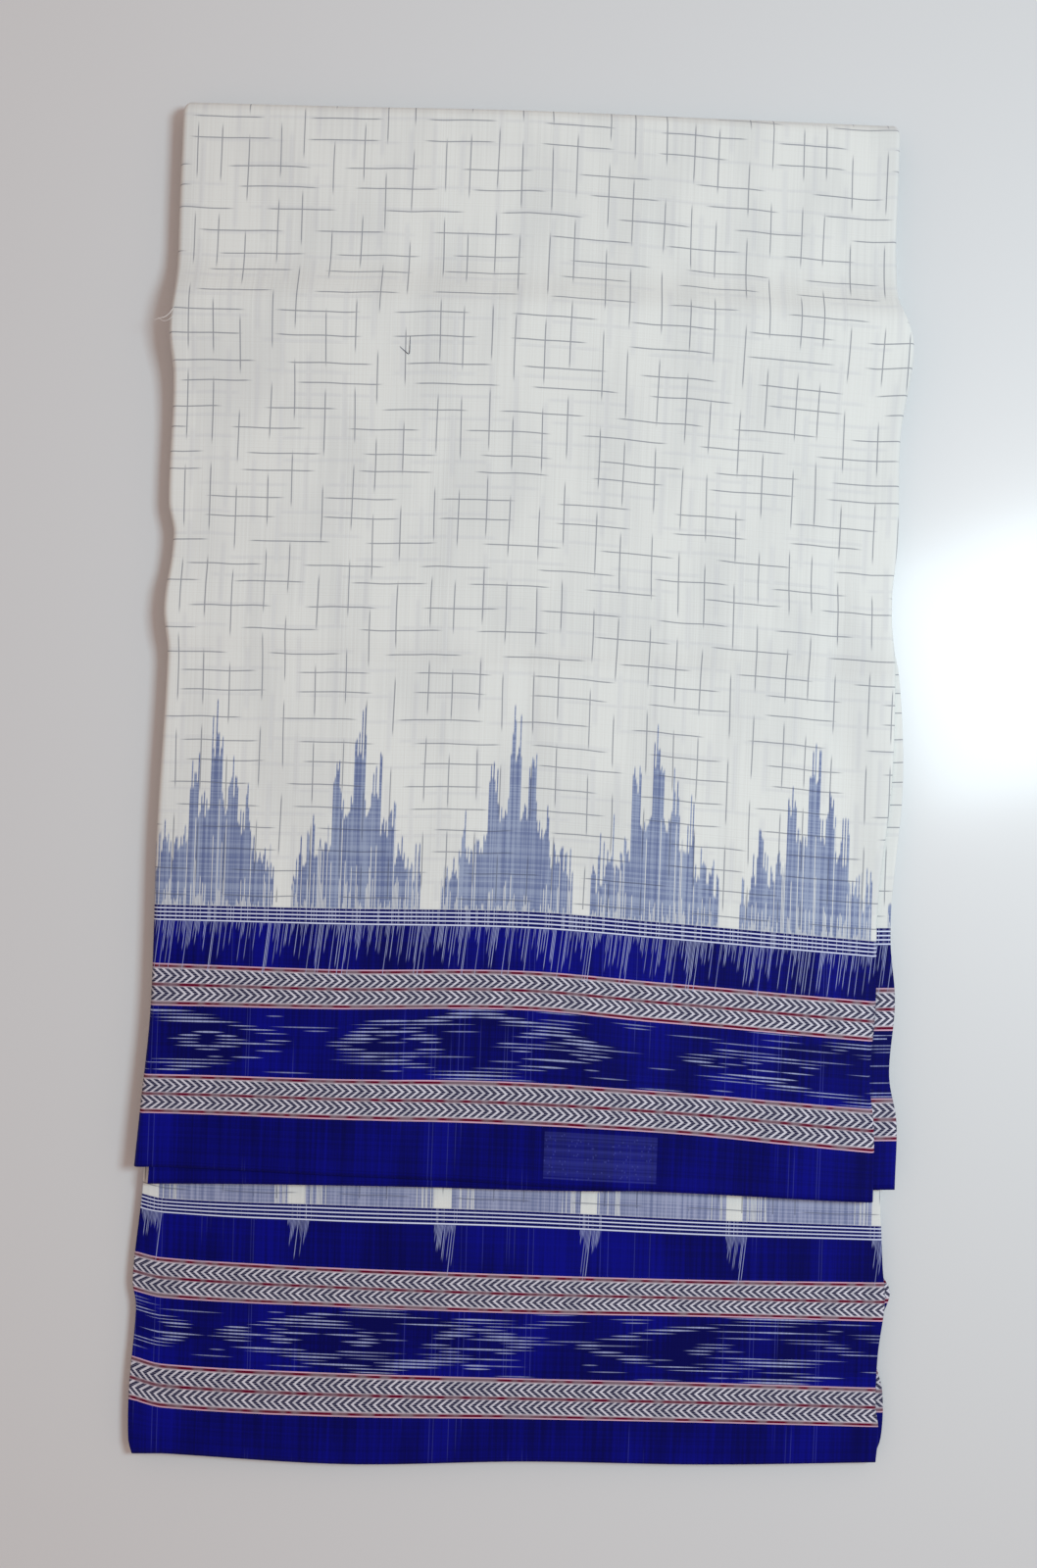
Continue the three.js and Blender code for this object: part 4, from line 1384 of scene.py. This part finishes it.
@dataclass
class OuterPly:
    """The outermost ply: upper face, head fold and underside, as one thin shell."""

    thickness: float = 0.5
    columns: int = 112
    face_step: float = 2.5
    under_step: float = 8.0
    fold_rows: int = 16
    upper_level: float = UPPER_TOP
    name: str = "outer_ply"

    def grid(self) -> Grid:
        """The rows from the upper selvedge over the head fold to the lower selvedge, on the underside.

        V follows the woven lines on the upper face. From there it runs by the way up the middle column, so
        that it ends with the saree's width at the other selvedge.

        Returns:
            The upper face's points at their level less the lip's depth, the fold's on half turns round the
            fold's axis, and the underside's at the lip's depth above the ground.
        """
        upper_count = int((FOLD_START_Y - UPPER_SELVEDGE_Y) / self.face_step)
        under_count = int((FOLD_START_Y - LOWER_SELVEDGE_Y) / self.under_step)
        lips = (LEFT_ROLL, RIGHT_ROLL)
        at = np.linspace(1.0, 0.0, upper_count)[:, None]
        x, depth = across(UPPER_FACE.left_x(at), UPPER_FACE.right_x(at), lips, self.columns)
        y = UPPER_FACE.y(np.broadcast_to(at, x.shape), x)
        upper = (x, y, upper_height(self.upper_level - depth, x, y))
        angle = np.pi * (0.5 - np.linspace(0.0, 1.0, self.fold_rows + 2)[1:-1])[:, None]
        share = 0.5 - angle / np.pi
        left = UPPER_FACE.left_x(0.0) * (1 - share) + LOWER_FACE.left_x(0.0) * share
        right = UPPER_FACE.right_x(0.0) * (1 - share) + LOWER_FACE.right_x(0.0) * share
        x, depth = across(left, right, lips, self.columns)
        start_y = FOLD_START_Y - UPPER_DROP.look_up(np.zeros_like(x), x)
        reach = HEAD_RADIUS - depth
        fold = (x, start_y + reach * np.cos(angle), HEAD_RADIUS + reach * np.sin(angle))
        at = np.linspace(0.0, 1.0, under_count)[:, None]
        x, depth = across(LOWER_FACE.left_x(at), LOWER_FACE.right_x(at), lips, self.columns)
        y = LOWER_FACE.y(np.broadcast_to(at, x.shape), x)
        under = (x, y, depth + np.maximum(sum(crease.relief(x, y) for crease in UNDER_CREASES), 0.0))
        x, y, z = (np.concatenate(parts) for parts in zip(upper, fold, under))
        end = UPPER_FACE.y(np.ones_like(x[:upper_count]), x[:upper_count])
        face_way = UPPER_LINES.way(x[:upper_count], y[:upper_count], end)
        rest = cloth_way(x[upper_count - 1 :], y[upper_count - 1 :], z[upper_count - 1 :])[1:]
        way = np.concatenate([face_way, face_way[-1] + (SAREE_WIDTH - face_way[-1]) * rest / rest[-1]])
        places = np.concatenate([np.linspace(1.0, 0.0, upper_count), np.zeros(self.fold_rows), at[:, 0]])
        return Grid(x, y, z, x - strip_middle(places[:, None]), way)

    def build(self, shift: np.ndarray, finishes: Finishes) -> bpy.types.Object:
        """Makes the shell and hides the CAD part that it stands for.

        Args:
            shift: the table's origin in the CAD frame, in metres.
            finishes: the materials of the body and of the border.

        Returns:
            The ply.
        """
        ply = cloth_shell(self.name, self.grid(), shift, self.thickness, finishes)
        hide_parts("outer_stretch")
        return ply


def dress(ply: bpy.types.Object, v: np.ndarray, finishes: Finishes) -> None:
    """Gives the faces near a selvedge the second finish and the rest the first.

    Args:
        ply: the ply, all in four-sided faces.
        v: the way from the selvedge of each vertex, in the order of the vertices.
        finishes: the materials of the body and of the border.
    """
    for finish in finishes:
        ply.data.materials.append(finish)
    corners = np.empty(len(ply.data.loops), dtype=np.int32)
    ply.data.loops.foreach_get("vertex_index", corners)
    middle = v[corners].reshape(-1, 4).mean(axis=1)
    in_border = np.minimum(middle, SAREE_WIDTH - middle) < BORDER_REACH
    ply.data.polygons.foreach_set("material_index", in_border.astype(np.int32))


def cloth_shell(
    name: str, grid: Grid, shift: np.ndarray, thickness: float, finishes: Finishes
) -> bpy.types.Object:
    """A thin shell of cloth: the grid as its outer side, given its thickness inwards.

    Args:
        name: the object's name.
        grid: the outer side.
        shift: the table's origin in the CAD frame, in metres.
        thickness: the cloth's thickness.
        finishes: the materials of the body and of the border.

    Returns:
        The object, riding on the root body.
    """
    uv = np.stack([grid.u, grid.v], axis=-1).reshape(-1, 2) * MM
    shell = new_mesh(name, grid.vertices(shift), grid.quads(), uv)
    wall = shell.modifiers.new("wall", "SOLIDIFY")
    wall.thickness = thickness * MM
    wall.offset = -1.0
    dress(shell, grid.v.ravel(), finishes)
    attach(shell, "root")
    return shell


@dataclass
class InnerPly:
    """A ply that starts under the upper leaf or the head fold and ends in its selvedge."""

    name: str
    node: str
    slot: str
    leaf: Leaf
    level: float
    start: float
    upper: bool
    lines: PatternLines = PatternLines()
    shelf: bool = False
    thickness: float = 0.5
    columns: int = 100
    step: float = 3.0

    def grid(self) -> Grid:
        """Rows from the selvedge towards the head fold, each a ply wide, at the ply's level less the depth
        of its lips and, beside the plies above, of its step down.

        Returns:
            The points, with V from the selvedge.
        """
        rows = int((1.0 - self.start) * (FOLD_START_Y - self.leaf.selvedge_y) / self.step)
        at = np.linspace(1.0, self.start, rows)[:, None]
        x, depth = across(self.leaf.left_x(at), self.leaf.right_x(at), (SHORT_ROLL, SHORT_ROLL), self.columns)
        y = self.leaf.y(np.broadcast_to(at, x.shape), x)
        if self.shelf:
            depth = depth + shelf_depth(x, at)
        z = upper_height(self.level - depth, x, y) if self.upper else self.level - depth
        end = self.leaf.y(np.ones_like(x), x)
        return Grid(x, y, z, x - strip_middle(at), self.lines.way(x, y, end))

    def build(self, shift: np.ndarray, finishes: Finishes) -> bpy.types.Object:
        """Makes the shell and hides the CAD part that it stands for.

        Args:
            shift: the table's origin in the CAD frame, in metres.
            finishes: the materials of the body and of the border.

        Returns:
            The ply.
        """
        grid = self.grid()
        ply = cloth_shell(self.name, grid, shift, self.thickness, finishes)
        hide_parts(self.node)
        return ply


@dataclass
class HiddenStack:
    """The twelve plies between, each its own thin leaf with edges that wander, turning round the head."""

    name: str = "hidden_layers_stack"
    plies: int = 12
    upper_under: float = 6.9
    upper_over: float = 9.9
    lower_under: float = 1.55
    lower_over: float = 3.55
    upper_end: float = 0.985
    lower_end: float = 0.993
    smallest_fold: float = 1.2
    columns: int = 10
    row_step: float = 7.0
    fold_rows: int = 8
    wander: float = 0.35
    fill: float = 0.8
    end_margin: float = 0.004
    stagger: float = 0.0024
    stagger_turn: float = 2.4

    def ply(self, number: int) -> tuple[Grid, Grid]:
        """One ply as its two sides, from the upper selvedge round the head fold to the lower selvedge.

        Args:
            number: counted from the outermost ply.

        Returns:
            The side that faces outwards and the one that faces inwards.
        """
        sides = []
        for inner in (0.0, self.fill):
            share = (number + inner) / self.plies
            upper_level = self.upper_over + (self.upper_under - self.upper_over) * share
            lower_level = self.lower_under + (self.lower_over - self.lower_under) * share
            upper_count = int((FOLD_START_Y - UPPER_SELVEDGE_Y) * self.upper_end / self.row_step)
            lower_count = int((FOLD_START_Y - LOWER_SELVEDGE_Y) * self.lower_end / self.row_step)
            margin = self.end_margin - self.stagger * math.sin(self.stagger_turn * number)
            at = np.linspace(self.upper_end - margin, 0.0, upper_count)[:, None]
            x, y = self.spread(UPPER_HIDDEN, at, number)
            upper = (x, y, upper_height(upper_level - shelf_depth(x, at) * (1.0 - share), x, y))
            turn = np.linspace(0.0, 1.0, self.fold_rows + 2)[1:-1][:, None]
            angle = np.pi * (0.5 - turn)
            x_above = self.spread(UPPER_HIDDEN, np.zeros((1, 1)), number)[0]
            x_below = self.spread(LOWER_HIDDEN, np.zeros((1, 1)), number)[0]
            x = x_above * (1 - turn) + x_below * turn
            reach = (upper_level - HEAD_RADIUS) * (1 - turn) + (HEAD_RADIUS - lower_level) * turn
            reach = np.maximum(reach, self.smallest_fold * (1.0 - 0.5 * share))
            start_y = FOLD_START_Y - UPPER_DROP.look_up(np.zeros_like(x), x)
            height = np.broadcast_to(HEAD_RADIUS + reach * np.sin(angle), x.shape)
            fold = (x, start_y + reach * np.cos(angle), height)
            at = np.linspace(0.0, self.lower_end - margin, lower_count)[:, None]
            x, y = self.spread(LOWER_HIDDEN, at, number)
            lower = (x, y, np.full_like(x, lower_level))
            x, y, z = (np.concatenate(parts) for parts in zip(upper, fold, lower))
            way = np.broadcast_to(cloth_way(x, y, z), x.shape)
            sides.append(Grid(x, y, z, x - (x[:, :1] + x[:, -1:]) / 2.0, way))
        return sides[0], sides[1]

    def spread(self, leaf: Leaf, at: np.ndarray, number: int) -> tuple[np.ndarray, np.ndarray]:
        """A ply's columns across a leaf, with side edges that wander by a fraction of a millimetre.

        Args:
            leaf: the leaf's outlines.
            at: places along it, as a column.
            number: the ply, which picks how its edges wander.

        Returns:
            X and Y as rows by columns.
        """
        way = at * (FOLD_START_Y - leaf.selvedge_y)
        left = leaf.left_x(at) + self.wander * (1.0 + slow_wander(2 * number, way, (37.0, 83.0, 160.0)))
        right = leaf.right_x(at) - self.wander * (1.0 + slow_wander(2 * number + 1, way, (31.0, 71.0, 190.0)))
        x = left + (right - left) * np.linspace(0.0, 1.0, self.columns)[None, :]
        return x, leaf.y(np.broadcast_to(at, x.shape), x)

    def build(self, shift: np.ndarray, finishes: Finishes) -> bpy.types.Object:
        """Makes the stack: each ply's two sides, joined all round by a narrow rim.

        Args:
            shift: the table's origin in the CAD frame, in metres.
            finishes: the materials of the body and of the border.

        Returns:
            The stack.
        """
        vertices, quads, uv = [], [], []
        first = 0
        for number in range(self.plies):
            for side, grid in enumerate(self.ply(number)):
                faces = grid.quads(first)
                vertices.append(grid.vertices(shift))
                quads.append(faces if side == 0 else faces[:, ::-1])
                uv.append(np.stack([grid.u, grid.v], axis=-1).reshape(-1, 2) * MM)
                first += grid.x.size
            rows, columns = grid.x.shape
            outer = np.arange(rows * columns).reshape(rows, columns) + first - 2 * grid.x.size
            rim = np.concatenate([outer[0, :], outer[1:, -1], outer[-1, -2::-1], outer[-2:0:-1, 0]])
            ahead = np.roll(rim, -1)
            quads.append(np.stack([rim, rim + grid.x.size, ahead + grid.x.size, ahead], axis=1))
        stack = new_mesh(self.name, np.concatenate(vertices), np.concatenate(quads), np.concatenate(uv))
        dress(stack, np.concatenate(uv)[:, 1] / MM, finishes)
        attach(stack, "root")
        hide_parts("hidden_layers")
        return stack


@dataclass(frozen=True)
class LooseYarn:
    """A loose end of yarn on the upper face: the points that it goes through, as X, Y and its height above
    the cloth. Its finish is twisted cotton, matt, a little lighter and darker along its length."""

    name: str
    points: tuple[tuple[float, float, float], ...]
    colours: tuple[str, str]
    radius: float = 0.22
    steps: int = 20
    twist_grain: float = 900.0
    roughness: float = 0.7

    def build(self, shift: np.ndarray) -> bpy.types.Object:
        """Makes a four-sided tube along the points, thinner towards its ends, and rounds it.

        Args:
            shift: the table's origin in the CAD frame, in metres.

        Returns:
            The yarn's end.
        """
        given = np.array(self.points)
        share = np.linspace(0.0, 1.0, self.steps)
        places = np.linspace(0.0, 1.0, len(given))
        path = np.stack([curve_through(places, given[:, axis], share) for axis in range(3)], axis=-1)
        path[:, 2] += upper_height(UPPER_TOP, path[:, 0], path[:, 1])
        along = np.gradient(path, axis=0)
        along /= np.linalg.norm(along, axis=1, keepdims=True)
        side = np.cross((0.0, 0.0, 1.0), along)
        side /= np.linalg.norm(side, axis=1, keepdims=True)
        up = np.cross(along, side)
        angle = (np.arange(4) * 0.5 * np.pi)[None, :, None]
        ring = side[:, None] * np.cos(angle) + up[:, None] * np.sin(angle)
        radius = self.radius * (0.4 + 0.6 * np.sin(np.pi * share) ** 0.5)
        vertices = (path[:, None] + radius[:, None, None] * ring).reshape(-1, 3) * MM + shift
        corner = np.arange(4 * (self.steps - 1))
        beside = corner - corner % 4 + (corner + 1) % 4
        walls = np.stack([corner, beside, beside + 4, corner + 4], axis=-1)
        ends = np.array([[3, 2, 1, 0], 4 * self.steps - np.array([4, 3, 2, 1])])
        yarn = new_mesh(self.name, vertices, np.concatenate([walls, ends]), np.zeros((len(vertices), 2)))
        rounding = yarn.modifiers.new("rounding", "SUBSURF")
        rounding.levels = rounding.render_levels = 1
        finish = Finish("twisted_cotton_" + self.name)
        twist = finish.add(Step.CLOUD, finish.add(Step.PLACE, out="Object"), self.twist_grain, 1.0)
        colour = finish.add(Step.BLEND, twist, *(linear(c) for c in self.colours))
        skin = finish.add(Step.SKIN, named={"Base Color": colour, "Roughness": self.roughness})
        finish.add(Step.SURFACE, skin)
        yarn.data.materials.append(finish.material)
        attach(yarn, "root")
        return yarn


NAVY_YARN = LooseYarn(
    name="navy_yarn_end",
    points=(
        (-55.0, 204.6, 0.1), (-52.8, 202.7, 0.2), (-50.6, 201.2, 0.3), (-50.2, 204.8, 0.2),
        (-49.9, 209.2, 0.1),
    ),
    colours=("#10163c", "#2a3258"),
)
WHITE_YARN = LooseYarn(
    name="white_yarn_end",
    points=(
        (-159.5, 223.2, 0.1), (-161.5, 220.0, 0.3), (-164.0, 218.2, 0.0), (-166.8, 217.8, -0.9),
        (-169.6, 217.4, -2.0),
    ),
    colours=("#dfe2e0", "#f2f4f3"),
)
FRAYED_YARN = LooseYarn(
    name="frayed_yarn_end",
    points=((-160.0, 218.6, 0.1), (-162.5, 216.8, 0.1), (-165.2, 216.6, -0.8), (-167.8, 218.4, -1.5)),
    colours=("#dfe2e0", "#f2f4f3"),
    radius=0.16,
)


@dataclass
class Studio:
    """The table, the soft light from the right and the camera straight above."""

    camera_height: float = 700.0
    camera_over: float = 8.5
    camera_aside: tuple[float, float] = (0.4, 0.7)
    frame_height: float = PHOTO_HEIGHT * MM_PER_PIXEL
    sensor: float = 36.0
    key_place: tuple[float, float, float] = (0.57, 0.14, 0.95)
    key_power: float = 8.6
    key_size: float = 0.29
    key_colour: str = "#daf0fa"
    fill_colour: str = "#ffe1d6"
    fill_strength: float = 0.53
    table_colour: str = "#d2d8da"
    table_glow: str = "#ffe6da"
    table_mottle: float = 3.0
    table_roughness: tuple[float, float] = (0.4, 0.48)
    glaze: float = 0.3
    glaze_roughness: float = 0.16

    def build(self, shift: np.ndarray) -> None:
        """Sets the table, the light and the camera.

        Args:
            shift: the table's origin in the CAD frame, in metres.
        """
        scene = bpy.context.scene
        scene.view_settings.view_transform = "Standard"
        self.table()
        world = bpy.data.worlds.new("room")
        scene.world = world
        world.use_nodes = True
        background = world.node_tree.nodes["Background"]
        background.inputs["Color"].default_value = linear(self.fill_colour)
        background.inputs["Strength"].default_value = self.fill_strength
        key = bpy.data.lights.new("key", "AREA")
        key.shape = "SQUARE"
        key.size = self.key_size
        key.energy = self.key_power
        key.color = linear(self.key_colour)[:3]
        lamp = bpy.data.objects.new("key", key)
        lamp.location = self.key_place
        lamp.rotation_euler = Vector(self.key_place).to_track_quat("Z", "Y").to_euler()
        scene.collection.objects.link(lamp)
        camera = bpy.data.cameras.new("camera")
        camera.sensor_width = self.sensor
        camera.lens = self.sensor * self.camera_height / self.frame_height
        eye = bpy.data.objects.new("camera", camera)
        above = np.array([*self.camera_aside, self.camera_height + self.camera_over]) * MM
        eye.location = shift + above
        scene.collection.objects.link(eye)
        scene.camera = eye

    def table(self) -> None:
        """Lays the table top, a wide plane just under the cloth. It is glazed: its coat mirrors the lamp
        softly, and below it is a little smoother in some places than in others."""
        half, under = 3.0, -0.0005
        corners = np.array([(-half, -half), (half, -half), (half, half), (-half, half)])
        corners = np.column_stack([corners, np.full(4, under)])
        top = new_mesh("table", corners, np.array([[0, 1, 2, 3]]), corners[:, :2])
        finish = Finish("glazed_table_top")
        mottle = finish.add(Step.CLOUD, finish.add(Step.PLACE, out="Object"), self.table_mottle, 3.0)
        rough = finish.add(Step.EVENLY, mottle, 0.3, 0.7, *self.table_roughness)
        named = {
            "Base Color": linear(self.table_colour),
            "Specular Tint": linear(self.table_glow),
            "Roughness": rough,
            "Coat Weight": self.glaze,
            "Coat Roughness": self.glaze_roughness,
        }
        skin = finish.add(Step.SKIN, named=named)
        finish.add(Step.SURFACE, skin)
        top.data.materials.append(finish.material)
        top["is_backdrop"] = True


def main() -> None:
    """Builds the hidden plies first, then the outermost ply and the others, the yarn ends and the studio, and
    reports each.
    """
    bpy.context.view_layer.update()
    shift = frame_shift()
    log.info("the table's origin lies at %s m in the frame", np.round(shift, 5))
    streaked = HandloomCotton("handloom_cotton_streaked", UPPER_PLAN)
    upper = (streaked.body(), streaked.border())
    columned = HandloomCotton(
        "handloom_cotton_columned", LOWER_PLAN, temple_blue="#6f7a9f", temple_pale="#a2aac6"
    )
    lower = (columned.body(), columned.border())
    stack = HiddenStack().build(shift, upper)
    plies = [
        stack,
        OuterPly().build(shift, upper),
        InnerPly(
            "upper_second_ply", "upper_second_stretch", "inner_cotton", UPPER_SECOND,
            level=11.35, start=0.03, upper=True, shelf=True,
        ).build(shift, upper),
        InnerPly(
            "lower_face_ply", "lower_face_stretch", "border_cotton", LOWER_FACE,
            level=6.55, start=0.03, upper=False, lines=LOWER_LINES,
        ).build(shift, lower),
        InnerPly(
            "lower_second_ply", "lower_second_stretch", "inner_cotton", LOWER_SECOND,
            level=5.0, start=0.78, upper=False,
        ).build(shift, lower),
    ]
    plies += [yarn.build(shift) for yarn in (NAVY_YARN, WHITE_YARN, FRAYED_YARN)]
    Studio().build(shift)
    for ply in plies:
        log.info("%s: %d faces", ply.name, len(ply.data.polygons))


if __name__ == "__main__":
    logging.basicConfig(level=logging.INFO)
    main()
